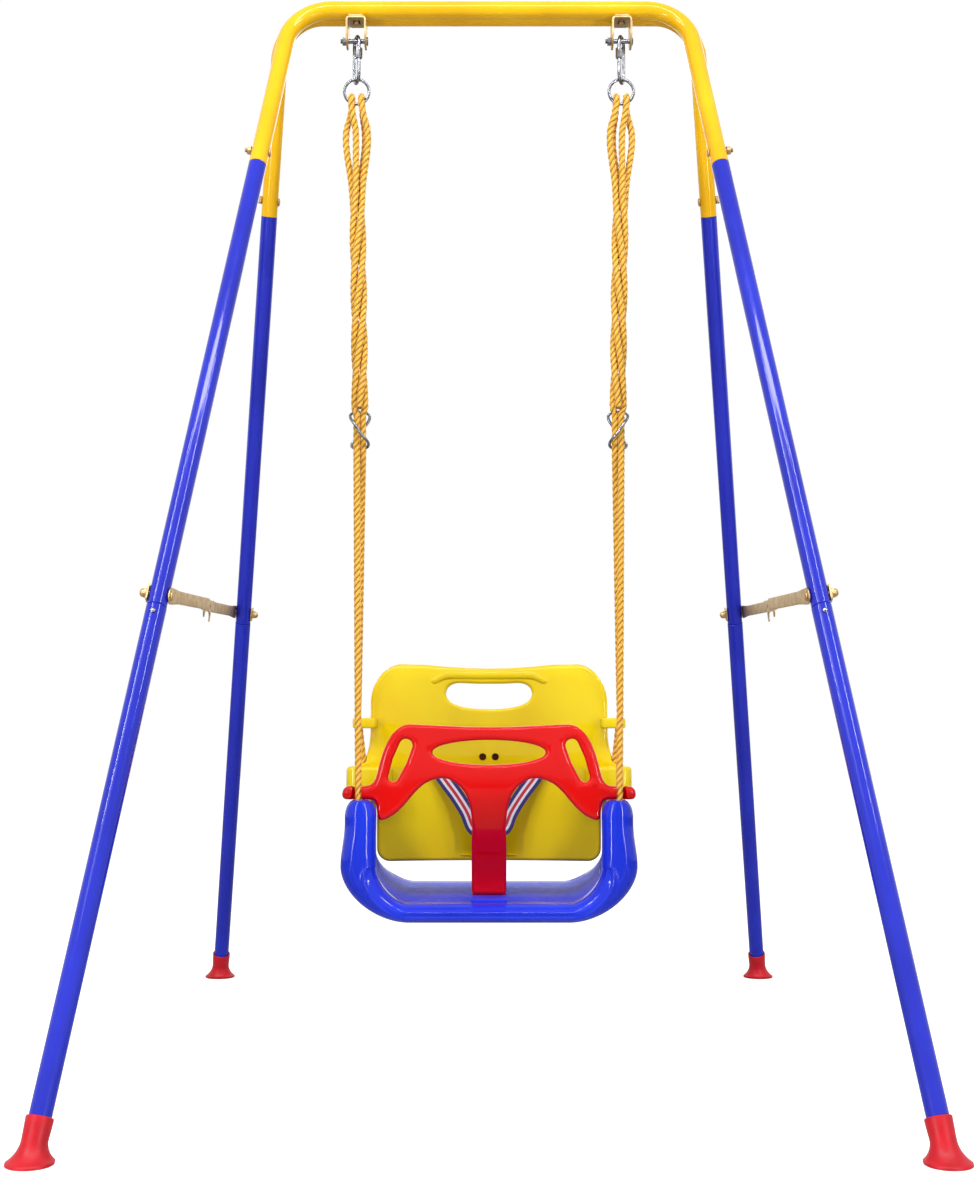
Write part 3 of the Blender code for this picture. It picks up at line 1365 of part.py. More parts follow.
def brace_link(frame, right_parent, left_parent):
    """A strip link with a jog near the middle hinge, so that both links lie side by side there."""
    length = flat_distance() / 2
    stand = TUBE_RADIUS + GAP + LINK_THICKNESS / 2
    side = -1 if frame is FRONT else 1
    middle_gap = LINK_THICKNESS / 2 + BRACE_GAP / 2
    here = brace_frame(frame)
    centre = hinge_point()
    level = (here.inverted() @ centre).z
    near = side * stand
    far = level + side * middle_gap
    stations = [
        (-LINK_END_HALF_HEIGHT, 0.006, near),
        (0.0, LINK_END_HALF_HEIGHT, near),
        (LINK_END_TAPER, LINK_HALF_HEIGHT, near),
        (length - JOG_START, LINK_HALF_HEIGHT, near),
        (length - JOG_END, LINK_HALF_HEIGHT, far),
        (length, LINK_HALF_HEIGHT, far),
        (length + LINK_HALF_HEIGHT * 0.7, LINK_HALF_HEIGHT * 0.7, far),
        (length + LINK_HALF_HEIGHT, LINK_HALF_HEIGHT * 0.3, far),
    ]
    mesh = bpy.data.meshes.new("link")
    shape = bmesh.new()
    upper = []
    lower = []
    for x, half, z in stations:
        upper.append(shape.verts.new((x, half, z)))
        lower.append(shape.verts.new((x, -half, z)))
    for index in range(len(stations) - 1):
        shape.faces.new((lower[index], lower[index + 1], upper[index + 1], upper[index]))
    shape.to_mesh(mesh)
    shape.free()
    link = add_object(f"brace_{frame.name}_link", mesh, here)
    solid = link.modifiers.new("sheet", "SOLIDIFY")
    solid.thickness = LINK_THICKNESS
    solid.offset = 0
    link = baked(link)
    link = hole(link, BRACE_BOLT_RADIUS + HOLE_FIT, -0.05, 0.05, here)
    at_middle = here @ Matrix.Translation((length, 0, 0))
    link = hole(link, RIVET_RADIUS + HOLE_FIT, -0.05, 0.05, at_middle)
    if frame is FRONT:
        link = hole(link, CATCH_PIN_RADIUS + HOLE_FIT, -0.05, 0.05, catch_place())
    pair(link, "zinc", right_parent, left_parent)


def hinge_point():
    """The middle hinge's centre, halfway between the two links' planes."""
    front = FRONT.at(FRONT.pivot) - FRONT.axis * (TUBE_RADIUS + GAP)
    rear = REAR.at(REAR.pivot) + REAR.axis * (TUBE_RADIUS + GAP)
    return (front + rear) / 2


def brace_bolt(frame, parent):
    """The pivot bolt through the leg, with the link on it and a plate and cap nut on the far side."""
    matrix = frame.across(frame.pivot)
    side = 1 if frame is FRONT else -1
    leg = TUBE_RADIUS + GAP
    link = leg + LINK_THICKNESS + GAP
    flip = Matrix.Rotation(0 if side > 0 else math.pi, 4, "X")
    head = BOLT_HEAD_RADIUS
    end = leg + PLATE_THICKNESS + CAP_NUT_LENGTH
    profile = [
        (0, end),
        (CAP_NUT_RADIUS * 0.45, end - 0.0002),
        (CAP_NUT_RADIUS * 0.85, end - 0.0022),
        (CAP_NUT_RADIUS, end - 0.0048),
        (CAP_NUT_RADIUS, leg + PLATE_THICKNESS),
        (BRACE_BOLT_RADIUS, leg + PLATE_THICKNESS),
        (BRACE_BOLT_RADIUS, -link),
        (head, -link),
        (head * 0.86, -link - BOLT_HEAD_HEIGHT * 0.55),
        (head * 0.45, -link - BOLT_HEAD_HEIGHT),
        (0, -link - BOLT_HEAD_HEIGHT),
    ]
    bolt = turned(f"{frame.name}_brace_bolt", profile, matrix @ flip, 12)
    plate = block(
        "plate",
        (-PLATE_HALF_HEIGHT, -0.0060, leg),
        (PLATE_HALF_HEIGHT, 0.0060, leg + PLATE_THICKNESS),
        matrix @ flip,
    )
    bolt = combine(bolt, plate, "UNION")
    pair(bolt, "zinc", parent, parent)


def brace_rivet(right_parent, left_parent):
    """The middle hinge's rivet, which rides on the front link and ends at the rear link's face."""
    here = brace_frame(FRONT)
    length = flat_distance() / 2
    level = (here.inverted() @ hinge_point()).z
    face = level - BRACE_GAP / 2 - LINK_THICKNESS
    profile = [
        (0, level - BRACE_GAP / 2),
        (RIVET_RADIUS, level - BRACE_GAP / 2),
        (RIVET_RADIUS, face - GAP),
        (RIVET_HEAD_RADIUS, face - GAP),
        (RIVET_HEAD_RADIUS * 0.6, face - GAP - RIVET_HEAD_HEIGHT),
        (0, face - GAP - RIVET_HEAD_HEIGHT),
    ]
    place = here @ Matrix.Translation((length, 0, 0))
    pair(turned("brace_rivet", profile, place, 12), "zinc", right_parent, left_parent)


def catch_place():
    """The catch's own place on the front link: local Z outwards, origin on its pivot."""
    length = flat_distance() / 2
    return brace_frame(FRONT) @ Matrix.Translation((length - CATCH_PIVOT, 0, 0))


def brace_catch(right_parent, left_parent):
    """A spring catch under the front link with a thumb tab, hooked under the hinge."""
    here = catch_place()
    level = (here.inverted() @ hinge_point()).z - BRACE_GAP / 2 - LINK_THICKNESS
    plane = level - GAP - CATCH_THICKNESS / 2
    low = -LINK_HALF_HEIGHT
    half = CATCH_HALF_HEIGHT
    outline = [
        (-0.012, low - 0.002),
        (-0.006, low - CATCH_TAB),
        (-0.001, low - 0.001),
        (CATCH_PIVOT - 0.004, low - 0.002),
        (CATCH_PIVOT + 0.001, low - CATCH_DROP),
        (CATCH_PIVOT + 0.004, low - CATCH_DROP + 0.001),
        (CATCH_PIVOT + 0.003, low + 0.0015),
        (0.008, half * 0.8),
        (0.0, half),
        (-0.008, half * 0.6),
        (-0.012, low + 0.004),
    ]
    place = here @ Matrix.Translation((0, 0, plane))
    catch = flat("brace_catch", [outline], CATCH_THICKNESS, place)
    reach = GAP + LINK_THICKNESS + CATCH_THICKNESS / 2 + 0.001
    pin = cylinder("pin", CATCH_PIN_RADIUS, 0, reach, place, 12)
    pair(combine(catch, pin, "UNION"), "zinc", right_parent, left_parent)


def main():
    """Builds every piece in order and prints the ropes' least gaps."""
    root = empty_at("front_frame_body", (0, 0, 0))
    rear = empty_at("fold_axis", (0, BAR_OFFSET, BAR_HEIGHT), root)
    swing = empty_at("swing_axis", (0, HANG_Y, PIN_HEIGHT), root)
    guard = empty_at("guard_lift", rope_entry("front"), swing)
    sides = {}
    for side, flip in (("right", Matrix()), ("left", MIRROR)):
        def put(name, place, parent, flip=flip, side=side):
            sides[name, side] = empty_at(f"{name}_{side}", flip @ place, parent)
        put("front_button_axis", FRONT.at(FRONT.seam + BUTTON_OFFSET), root)
        put("rear_button_axis", REAR.at(REAR.seam + BUTTON_OFFSET), rear)
        put("front_link_pivot", FRONT.at(FRONT.pivot), root)
        put("rear_link_pivot", REAR.at(REAR.pivot), rear)
        put("catch_pivot", catch_place().translation, sides["front_link_pivot", side])
        put("sleeve_axis", link_place() @ Vector((-LINK_SIDE, 0, LINK_MOUTH_Z)), swing)

    def both(name):
        return sides[name, "right"], sides[name, "left"]

    for frame, body in ((FRONT, root), (REAR, rear)):
        top_tube(frame, body)
        upper_leg(frame, body)
        lower_leg(frame, body)
        foot(frame, body)
        joint_bolt(frame, body)
        brace_bolt(frame, body)
        spring_button(frame, *both(f"{frame.name}_button_axis"))
        brace_link(frame, *both(f"{frame.name}_link_pivot"))
    hanger_bracket(root)
    hanger_pin(root)
    tube_clip(root)
    hanger_bolt(root)
    brace_rivet(*both("front_link_pivot"))
    brace_catch(*both("catch_pivot"))
    quick_link(swing)
    link_sleeve(*both("sleeve_axis"))
    ring(swing)
    front_line = rope("front", rope_entry("front"), swing)
    rear_line_points = rope("rear", rope_entry("rear"), swing)
    adjuster(swing)
    seat_base(swing)
    backrest(swing)
    front_guard(guard)
    harness(swing)
    print("least gap of the front rope to itself, mm", 1000 * least_gap(front_line, front_line, 4))
    print("least gap of the rear rope to itself, mm", 1000 * least_gap(rear_line_points, rear_line_points, 4))
    print("least gap between the ropes, mm", 1000 * least_gap(front_line, rear_line_points))


main()
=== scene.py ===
"""Looks of the toddler swing: painted tube stand, plated hardware, laid ropes and a moulded bucket seat.

Every piece is placed in the part's own frame: metres, floor at z = 0, front towards -Y.
"""

from __future__ import annotations

import logging
from collections.abc import Callable, Iterable, Sequence
from dataclasses import dataclass
from enum import Enum
from math import asin, copysign, cos, degrees, exp, hypot, pi, radians, sin, sqrt, tan, tau

import bmesh
import bpy
from mathutils import Matrix, Vector

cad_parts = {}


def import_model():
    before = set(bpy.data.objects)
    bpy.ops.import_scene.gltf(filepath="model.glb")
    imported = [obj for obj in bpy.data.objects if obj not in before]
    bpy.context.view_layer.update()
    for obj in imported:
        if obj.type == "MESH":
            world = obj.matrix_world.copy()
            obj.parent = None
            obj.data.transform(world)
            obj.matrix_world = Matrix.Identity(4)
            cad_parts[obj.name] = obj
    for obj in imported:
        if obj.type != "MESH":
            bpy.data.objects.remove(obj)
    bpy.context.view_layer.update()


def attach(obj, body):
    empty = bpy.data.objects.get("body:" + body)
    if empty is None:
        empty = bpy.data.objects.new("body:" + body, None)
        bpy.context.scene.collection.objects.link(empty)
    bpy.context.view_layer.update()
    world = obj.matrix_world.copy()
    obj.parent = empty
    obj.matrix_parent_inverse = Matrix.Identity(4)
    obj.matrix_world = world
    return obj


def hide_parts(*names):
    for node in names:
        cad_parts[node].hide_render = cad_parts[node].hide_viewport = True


LOG = logging.getLogger("swing")
MIRROR = Matrix.Scale(-1, 4, (1, 0, 0))

Colour = tuple[float, float, float, float]
Outline = list[tuple[float, float]]
Rings = list[list[Vector]]
Piece = bpy.types.Object
Shape = bmesh.types.BMesh
Node = bpy.types.Node
Quad = tuple[Vector, Vector, Vector, Vector]

UP = Vector((0, 0, 1))
ACROSS = Vector((1, 0, 0))
UPRIGHT = Matrix.Rotation(pi / 2, 4, "X")
TOUCH = 1e-6
THREAD_PITCH = 0.0008
CLOUD_EDGES = (0.35, 0.65)
WHITE = (1.0, 1.0, 1.0, 1.0)
COAT_ROUGHNESS = 0.05


class Side(Enum):
    """Which half of the swing a piece is on."""

    RIGHT = "right"
    LEFT = "left"

    @property
    def sign(self) -> int:
        """+1 on the right and -1 on the left."""
        return 1 if self is Side.RIGHT else -1

    @property
    def flip(self) -> Matrix:
        """The matrix that carries a right-hand piece to this side."""
        return Matrix() if self is Side.RIGHT else MIRROR


class Surface(Enum):
    """How a finish is made."""

    PAINT = "paint"
    MOULDED = "moulded"
    RUBBER = "rubber"
    ZINC = "zinc"
    BRIGHT = "bright"
    ROPE = "rope"
    WEBBING = "webbing"


def linear(red: int, green: int, blue: int) -> Colour:
    """Turns a screen colour into the renderer's linear one.

    Args:
        red: Red from 0 to 255.
        green: Green from 0 to 255.
        blue: Blue from 0 to 255.

    Returns:
        The colour with full opacity.
    """
    values = []
    for part in (red, green, blue):
        share = part / 255
        values.append(share / 12.92 if share <= 0.04045 else ((share + 0.055) / 1.055) ** 2.4)
    return (values[0], values[1], values[2], 1.0)


class Nodes:
    """A material's node tree, with short ways to add and join nodes."""

    def __init__(self, name: str) -> None:
        """Starts a material with a bare shader.

        Args:
            name: The material's name.
        """
        self.material = bpy.data.materials.new(name)
        self.material.use_nodes = True
        self.tree = self.material.node_tree
        self.tree.nodes.clear()
        self.shader = self.add("ShaderNodeBsdfPrincipled")
        self.output = self.add("ShaderNodeOutputMaterial")
        self.join(self.shader, "BSDF", self.output, "Surface")

    def add(self, kind: str, values: dict | None = None, **settings: object) -> Node:
        """Adds a node.

        Args:
            kind: The node's type name.
            values: Socket values by socket name.
            **settings: Attributes of the node itself.

        Returns:
            The new node.
        """
        node = self.tree.nodes.new(kind)
        for key, value in settings.items():
            setattr(node, key, value)
        for key, value in (values or {}).items():
            node.inputs[key].default_value = value
        return node

    def set(self, values: dict[str, float]) -> None:
        """Sets sockets of the shader by name."""
        for key, value in values.items():
            self.shader.inputs[key].default_value = value

    def join(self, start: Node, out: str | int, end: Node, into: str | int) -> None:
        """Links one node's output to another's input."""
        self.tree.links.new(start.outputs[out], end.inputs[into])

    def drive(self, start: Node, out: str | int, socket: str) -> None:
        """Links a node's output to one of the shader's sockets."""
        self.join(start, out, self.shader, socket)

    def place(self) -> Node:
        """The piece's own coordinates."""
        return self.add("ShaderNodeTexCoord")

    def noise(
        self, source: Node, scale: float, detail: float = 3.0, stretch: tuple[float, float, float] = (1, 1, 1)
    ) -> Node:
        """Noise in the piece's own coordinates.

        Args:
            source: The node with an Object output.
            scale: Cells per metre.
            detail: Octaves of detail.
            stretch: Scale along each axis.

        Returns:
            The noise node.
        """
        mapping = self.add("ShaderNodeMapping", {"Scale": stretch})
        self.join(source, "Object", mapping, "Vector")
        node = self.add("ShaderNodeTexNoise", {"Scale": scale, "Detail": detail})
        self.join(mapping, "Vector", node, "Vector")
        return node

    def ramp(self, source: Node, out: str | int, stops: Sequence[tuple[float, Colour]]) -> Node:
        """A colour ramp over a node's output.

        Args:
            source: The node that drives the ramp.
            out: Its output's name.
            stops: Positions and colours, low to high.

        Returns:
            The ramp node.
        """
        node = self.add("ShaderNodeValToRGB")
        elements = node.color_ramp.elements
        while len(elements) < len(stops):
            elements.new(0.5)
        for element, (position, colour) in zip(elements, stops):
            element.position = position
            element.color = colour
        self.join(source, out, node, "Fac")
        return node

    def spread(self, source: Node, out: str | int, low: float, high: float) -> Node:
        """Maps an output of about 0.3 to 0.7 onto a range.

        Args:
            source: The node to map.
            out: Its output's name.
            low: What 0.3 becomes.
            high: What 0.7 becomes.

        Returns:
            The mapping node.
        """
        limits = {"From Min": 0.3, "From Max": 0.7, "To Min": low, "To Max": high}
        node = self.add("ShaderNodeMapRange", limits)
        self.join(source, out, node, "Value")
        return node

    def bump(self, source: Node, out: str | int, strength: float, depth: float) -> Node:
        """Bumps the surface by an output.

        Args:
            source: The height's node.
            out: Its output's name.
            strength: Share of the bump's effect.
            depth: The height's real depth in metres.

        Returns:
            The bump node.
        """
        node = self.add("ShaderNodeBump", {"Strength": strength, "Distance": depth})
        self.join(source, out, node, "Height")
        return node


@dataclass(frozen=True)
class Texture:
    """How an even surface varies.

    Attributes:
        cloud: Clouds of colour per metre.
        smear: Smears per metre.
        change: How far the roughness goes up and down in them.
        grain: Grains per metre.
        strength: Share of the grain's effect.
        depth: The grain's depth in metres.
        sockets: The shader's other values.
    """

    cloud: float
    smear: float
    change: float
    grain: float
    strength: float
    depth: float
    sockets: dict[str, float]


GLOSSY_PAINT = {"Specular IOR Level": 0.10, "Coat Weight": 0.45, "Coat Roughness": COAT_ROUGHNESS}
GLOSSY_PLASTIC = {"Specular IOR Level": 0.06, "Coat Weight": 0.50, "Coat Roughness": COAT_ROUGHNESS}
TEXTURES = {
    Surface.PAINT: Texture(9.0, 40.0, 0.05, 420.0, 0.10, 0.0004, GLOSSY_PAINT),
    Surface.MOULDED: Texture(6.0, 22.0, 0.04, 260.0, 0.04, 0.0004, GLOSSY_PLASTIC),
    Surface.RUBBER: Texture(30.0, 120.0, 0.06, 900.0, 0.18, 0.0004, {"Specular IOR Level": 0.35}),
    Surface.BRIGHT: Texture(160.0, 300.0, 0.05, 700.0, 0.05, 0.0002, {"Metallic": 1.0}),
}


@dataclass(frozen=True)
class Finish:
    """One finish of the swing.

    Attributes:
        name: The finish in plain words.
        kind: How it is made.
        slot: The record's material slot; not used.
        colour: Its main colour.
        shade: The colour it varies to.
        roughness: Its middle roughness.
    """

    name: str
    kind: Surface
    slot: str
    colour: Colour
    shade: Colour
    roughness: float

    def material(self) -> bpy.types.Material:
        """The finish's material, made once.

        Returns:
            The material.
        """
        ready = bpy.data.materials.get(self.name)
        if ready:
            return ready
        nodes = Nodes(self.name)
        makers: dict[Surface, Callable[[Nodes], None]] = {
            Surface.ZINC: self.zinc,
            Surface.ROPE: self.rope,
            Surface.WEBBING: self.webbing,
        }
        makers.get(self.kind, self.plain)(nodes)
        nodes.material.diffuse_color = self.colour
        return nodes.material

    def tint(self, nodes: Nodes, scale: float) -> None:
        """Drives the base colour between the two colours by a soft noise.

        Args:
            nodes: The material's nodes.
            scale: Cells per metre.
        """
        cloud = nodes.noise(nodes.place(), scale)
        colours = nodes.ramp(cloud, "Fac", list(zip(CLOUD_EDGES, (self.shade, self.colour))))
        nodes.drive(colours, "Color", "Base Color")

    def polish(self, nodes: Nodes, scale: float, change: float) -> None:
        """Varies the roughness over the surface.

        Args:
            nodes: The material's nodes.
            scale: Cells per metre.
            change: How far the roughness goes up and down.
        """
        smear = nodes.noise(nodes.place(), scale, 4.0)
        span = nodes.spread(smear, "Fac", self.roughness - change, self.roughness + change)
        nodes.drive(span, "Result", "Roughness")

    def grain(self, nodes: Nodes, scale: float, strength: float, depth: float) -> None:
        """Adds a fine grain to the surface.

        Args:
            nodes: The material's nodes.
            scale: Grains per metre.
            strength: Share of the bump's effect.
            depth: Its depth in metres.
        """
        fine = nodes.noise(nodes.place(), scale, 2.0)
        bump = nodes.bump(fine, "Fac", strength, depth)
        nodes.drive(bump, "Normal", "Normal")

    def plain(self, nodes: Nodes) -> None:
        """A surface that varies by its texture alone.

        Args:
            nodes: The material's nodes.
        """
        texture = TEXTURES[self.kind]
        self.tint(nodes, texture.cloud)
        self.polish(nodes, texture.smear, texture.change)
        self.grain(nodes, texture.grain, texture.strength, texture.depth)
        nodes.set(texture.sockets)

    def zinc(self, nodes: Nodes) -> None:
        """Yellow-passivated zinc: brushed metal with faint pink and green drift.

        Args:
            nodes: The material's nodes.
        """
        place = nodes.place()
        cloud = nodes.noise(place, 45.0, 2.0)
        drift = (self.shade[0], self.shade[1] * 0.94, self.shade[2] * 1.12, 1.0)
        stops = [(0.30, self.shade), (0.46, self.colour), (0.58, drift), (0.70, self.colour)]
        colours = nodes.ramp(cloud, "Fac", stops)
        nodes.drive(colours, "Color", "Base Color")
        self.polish(nodes, 160.0, 0.04)
        brushed = nodes.noise(place, 420.0, 1.0, (1, 0.10, 1))
        bump = nodes.bump(brushed, "Fac", 0.015, 0.0001)
        nodes.drive(bump, "Normal", "Normal")
        nodes.set({"Metallic": 1.0})

    def rope(self, nodes: Nodes) -> None:
        """Laid synthetic rope: fine fibres along each strand, with painted shade in the grooves and a painted
        highlight on each strand's crest.

        Args:
            nodes: The material's nodes.
        """
        coords = nodes.add("ShaderNodeUVMap", uv_map="lay")
        deep = nodes.add("ShaderNodeAttribute", attribute_name="groove")
        cloud = nodes.noise(nodes.place(), 900.0, 4.0)
        blend = nodes.add("ShaderNodeMath", operation="MULTIPLY_ADD")
        nodes.join(cloud, "Fac", blend, 0)
        blend.inputs[1].default_value = 0.30
        nodes.join(deep, "Fac", blend, 2)
        pale = tuple(min(1.0, part * 1.30 + 0.05) for part in self.colour[:3]) + (1.0,)
        # From painted shade deep in the grooves, through the rope's own colour, to a painted highlight on the
        # crests.
        stops = [(0.16, self.shade), (0.58, self.colour), (1.0, pale)]
        colours = nodes.ramp(blend, "Value", stops)
        nodes.drive(colours, "Color", "Base Color")
        fibre = nodes.add(
            "ShaderNodeTexWave",
            {"Scale": 60.0, "Distortion": 1.5, "Detail": 2.0, "Detail Scale": 3.0},
            bands_direction="X",
        )
        nodes.join(coords, "UV", fibre, "Vector")
        bump = nodes.bump(fibre, "Fac", 0.45, 0.0004)
        nodes.drive(bump, "Normal", "Normal")
        nodes.set({"Roughness": self.roughness, "Sheen Weight": 0.25, "Specular IOR Level": 0.35})

    def webbing(self, nodes: Nodes) -> None:
        """Woven strap: navy edges, white lines and a red middle, with a fine weave.

        Args:
            nodes: The material's nodes.
        """
        coords = nodes.add("ShaderNodeUVMap", uv_map="lay")
        split = nodes.add("ShaderNodeSeparateXYZ")
        nodes.join(coords, "UV", split, "Vector")
        navy = linear(38, 34, 110)
        white = linear(236, 232, 238)
        stops = [(0.0, navy), (0.24, white), (0.40, self.colour), (0.60, white), (0.76, navy)]
        stripes = nodes.ramp(split, "X", stops)
        stripes.color_ramp.interpolation = "CONSTANT"
        cloud = nodes.noise(nodes.place(), 700.0, 3.0)
        mix = nodes.add("ShaderNodeMix", data_type="RGBA", blend_type="MULTIPLY")
        mix.inputs["Factor"].default_value = 0.35
        nodes.join(stripes, "Color", mix, 6)
        shadow = nodes.ramp(cloud, "Fac", [(0.35, (0.62, 0.62, 0.62, 1)), (0.65, WHITE)])
        nodes.join(shadow, "Color", mix, 7)
        nodes.drive(mix, 2, "Base Color")
        stretch = nodes.add("ShaderNodeMapping", {"Scale": (1.0, 55.0, 1.0)})
        nodes.join(coords, "UV", stretch, "Vector")
        warp = nodes.add("ShaderNodeTexWave", {"Scale": 7.0}, bands_direction="X")
        weft = nodes.add("ShaderNodeTexWave", {"Scale": 2.2}, bands_direction="Y")
        nodes.join(stretch, "Vector", warp, "Vector")
        nodes.join(stretch, "Vector", weft, "Vector")
        weave = nodes.add("ShaderNodeMath", operation="MULTIPLY")
        nodes.join(warp, "Fac", weave, 0)
        nodes.join(weft, "Fac", weave, 1)
        bump = nodes.bump(weave, "Value", 0.6, 0.0004)
        nodes.drive(bump, "Normal", "Normal")
        nodes.set({"Roughness": self.roughness, "Sheen Weight": 0.2})


YELLOW_PAINT = Finish(
    "yellow_paint", Surface.PAINT, "yellow_tube", linear(240, 188, 10), linear(230, 172, 4), 0.18
)
BLUE_PAINT = Finish("blue_paint", Surface.PAINT, "blue_tube", linear(34, 46, 188), linear(28, 38, 172), 0.16)
FOOT_RUBBER = Finish("red_foot", Surface.RUBBER, "foot", linear(206, 12, 34), linear(180, 4, 24), 0.42)
ZINC = Finish("gold_zinc", Surface.ZINC, "zinc", linear(204, 178, 126), linear(182, 152, 100), 0.44)
BRIGHT = Finish("bright_plate", Surface.BRIGHT, "steel", linear(158, 160, 166), linear(112, 114, 122), 0.18)
# The rope's second colour is painted shade for the bottoms of its grooves.
ROPE = Finish("orange_rope", Surface.ROPE, "rope", linear(238, 172, 40), linear(84, 44, 2), 0.42)
BLUE_PLASTIC = Finish(
    "blue_moulding", Surface.MOULDED, "blue_plastic", linear(27, 56, 220), linear(20, 45, 204), 0.13
)
BLUE_GRAIN = Finish(
    "blue_grained_seat", Surface.RUBBER, "blue_plastic", linear(36, 62, 220), linear(28, 50, 204), 0.46
)
YELLOW_PLASTIC = Finish(
    "yellow_moulding", Surface.MOULDED, "yellow_plastic", linear(232, 208, 20), linear(226, 192, 8), 0.14
)
RED_PLASTIC = Finish(
    "red_moulding", Surface.MOULDED, "red_plastic", linear(214, 0, 0), linear(204, 0, 0), 0.15
)
WEBBING = Finish(
    "striped_webbing", Surface.WEBBING, "webbing", linear(196, 36, 48), linear(150, 20, 30), 0.80
)
BLACK_PLASTIC = Finish(
    "black_moulding", Surface.MOULDED, "black_plastic", linear(30, 30, 32), linear(20, 20, 22), 0.40
)
# Painted shade: a dark brown that stands in for the shadow inside the backrest's blind holes.
RECESS_SHADE = Finish(
    "recess_painted_shade", Surface.RUBBER, "yellow_plastic", linear(112, 44, 14), linear(86, 30, 8), 0.60
)


def ease(t: float) -> float:
    """A smooth step from 0 to 1."""
    t = min(max(t, 0.0), 1.0)
    return t * t * (3 - 2 * t)


def arc(centre: tuple[float, float], radius: float, start: float, end: float, steps: int) -> Outline:
    """Points along an arc in the plane.

    Args:
        centre: The arc's centre.
        radius: Its radius.
        start: First angle in degrees.
        end: Last angle in degrees.
        steps: Number of spans.

    Returns:
        The points, both ends included.
    """
    points = []
    for step in range(steps + 1):
        angle = radians(start + (end - start) * step / steps)
        points.append((centre[0] + radius * cos(angle), centre[1] + radius * sin(angle)))
    return points


def mirrored(half: Outline) -> Outline:
    """A closed outline from its half at positive x."""
    return half + [(-x, y) for x, y in reversed(half) if x > TOUCH]


def on_curve(quad: Quad, t: float) -> Vector:
    """A point on the smooth curve between the second and the third of four knots.

    Args:
        quad: The four knots.
        t: Share of the way from the second to the third.

    Returns:
        The point.
    """
    before, start, end, after = quad
    return 0.5 * (
        2 * start
        + (end - before) * t
        + (2 * before - 5 * start + 4 * end - after) * t * t
        + (3 * start - before - 3 * end + after) * t * t * t
    )


def quads(knots: Sequence[Vector]) -> Iterable[Quad]:
    """Each span of an open line, with the knot before it and the knot after it."""
    ends = [knots[0] * 2 - knots[1], *knots, knots[-1] * 2 - knots[-2]]
    return zip(ends, ends[1:], ends[2:], ends[3:])


def smoothed(outline: Outline, spans: int) -> Outline:
    """A rounder closed outline through the same points.

    Args:
        outline: The points.
        spans: New points for each old span.

    Returns:
        Points on a smooth curve through the outline.
    """
    result: Outline = []
    for index in range(len(outline)):
        quad = tuple(Vector(outline[(index + shift) % len(outline)]) for shift in (-1, 0, 1, 2))
        for step in range(spans):
            point = on_curve(quad, step / spans)
            result.append((point.x, point.y))
    return result


def rounded(half_x: float, half_y: float, radius: float) -> Outline:
    """A rectangle with rounded corners, centred on the origin.

    Args:
        half_x: Half its width.
        half_y: Half its height.
        radius: Its corners' radius.

    Returns:
        The corners' points in order.
    """
    points: Outline = []
    for sx, sy, start in ((1, 1, 0), (-1, 1, 90), (-1, -1, 180), (1, -1, 270)):
        points += arc((sx * (half_x - radius), sy * (half_y - radius)), radius, start, start + 90, 5)
    return points


def frame_matrix(place: Vector, z_axis: Vector, x_hint: Vector) -> Matrix:
    """A place in space from its axes.

    Args:
        place: Its origin.
        z_axis: Where its Z runs.
        x_hint: Its X lies as near this as being square to Z allows.

    Returns:
        The matrix.
    """
    z_axis = z_axis.normalized()
    x_axis = (x_hint - z_axis * x_hint.dot(z_axis)).normalized()
    rows = Matrix((x_axis, z_axis.cross(x_axis), z_axis)).transposed()
    return Matrix.Translation(place) @ rows.to_4x4()


def smooth(obj: Piece, sharp: float) -> None:
    """Shades a piece smooth, apart from edges bent further than this many degrees.

    Args:
        obj: The object that is changed.
        sharp: The angle in degrees.
    """
    for face in obj.data.polygons:
        face.use_smooth = True
    obj.data.set_sharp_from_angle(angle=radians(sharp))


def mesh(name: str, shape: Shape, flip: Matrix = Matrix(), sharp: float = 35.0) -> Piece:
    """Turns a bmesh into an object in the swing's frame.

    Args:
        name: The piece's name.
        shape: Its shape, which is used up.
        flip: Where the shape is carried to.
        sharp: Edges bent further than this many degrees stay crisp.

    Returns:
        The object, shaded smooth.
    """
    bmesh.ops.transform(shape, matrix=flip, verts=shape.verts)
    if flip.determinant() < 0:
        bmesh.ops.reverse_faces(shape, faces=shape.faces)
    data = bpy.data.meshes.new(name)
    shape.to_mesh(data)
    shape.free()
    obj = bpy.data.objects.new(name, data)
    bpy.context.scene.collection.objects.link(obj)
    smooth(obj, sharp)
    return obj


def dress(obj: Piece, finish: Finish, body: str, replaced: Iterable[str]) -> Piece:
    """Gives a piece its finish, its body and the nodes it stands for.

    Args:
        obj: The piece.
        finish: Its finish.
        body: The body it rides on.
        replaced: Names of the nodes it replaces.

    Returns:
        The same piece.
    """
    obj.data.materials.clear()
    obj.data.materials.append(finish.material())
    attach(obj, body)
    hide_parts(*replaced)
    LOG.info("%s on %s, %d faces", obj.name, body, len(obj.data.polygons))
    return obj


def piece(
    node: str,
    made: str,
    shape: Shape,
    finish: Finish,
    body: str,
    flip: Matrix = Matrix(),
    sharp: float = 35.0,
) -> Piece:
    """Turns a bmesh into the dressed piece that stands for one node.

    Args:
        node: The node.
        made: What the piece is, for its name.
        shape: Its shape, which is used up.
        finish: Its finish.
        body: The body it rides on.
        flip: Where the shape is carried to.
        sharp: Edges bent further than this many degrees stay crisp.

    Returns:
        The piece.
    """
    return dress(mesh(f"{node}_{made}", shape, flip, sharp), finish, body, [node])


def placed(obj: Piece, matrix: Matrix) -> Piece:
    """Moves a piece's mesh, and turns its faces the right way out where the move mirrors it.

    Args:
        obj: The object that is changed.
        matrix: The move.

    Returns:
        The same object.
    """
    obj.data.transform(matrix)
    if matrix.determinant() < 0:
        obj.data.flip_normals()
    return obj


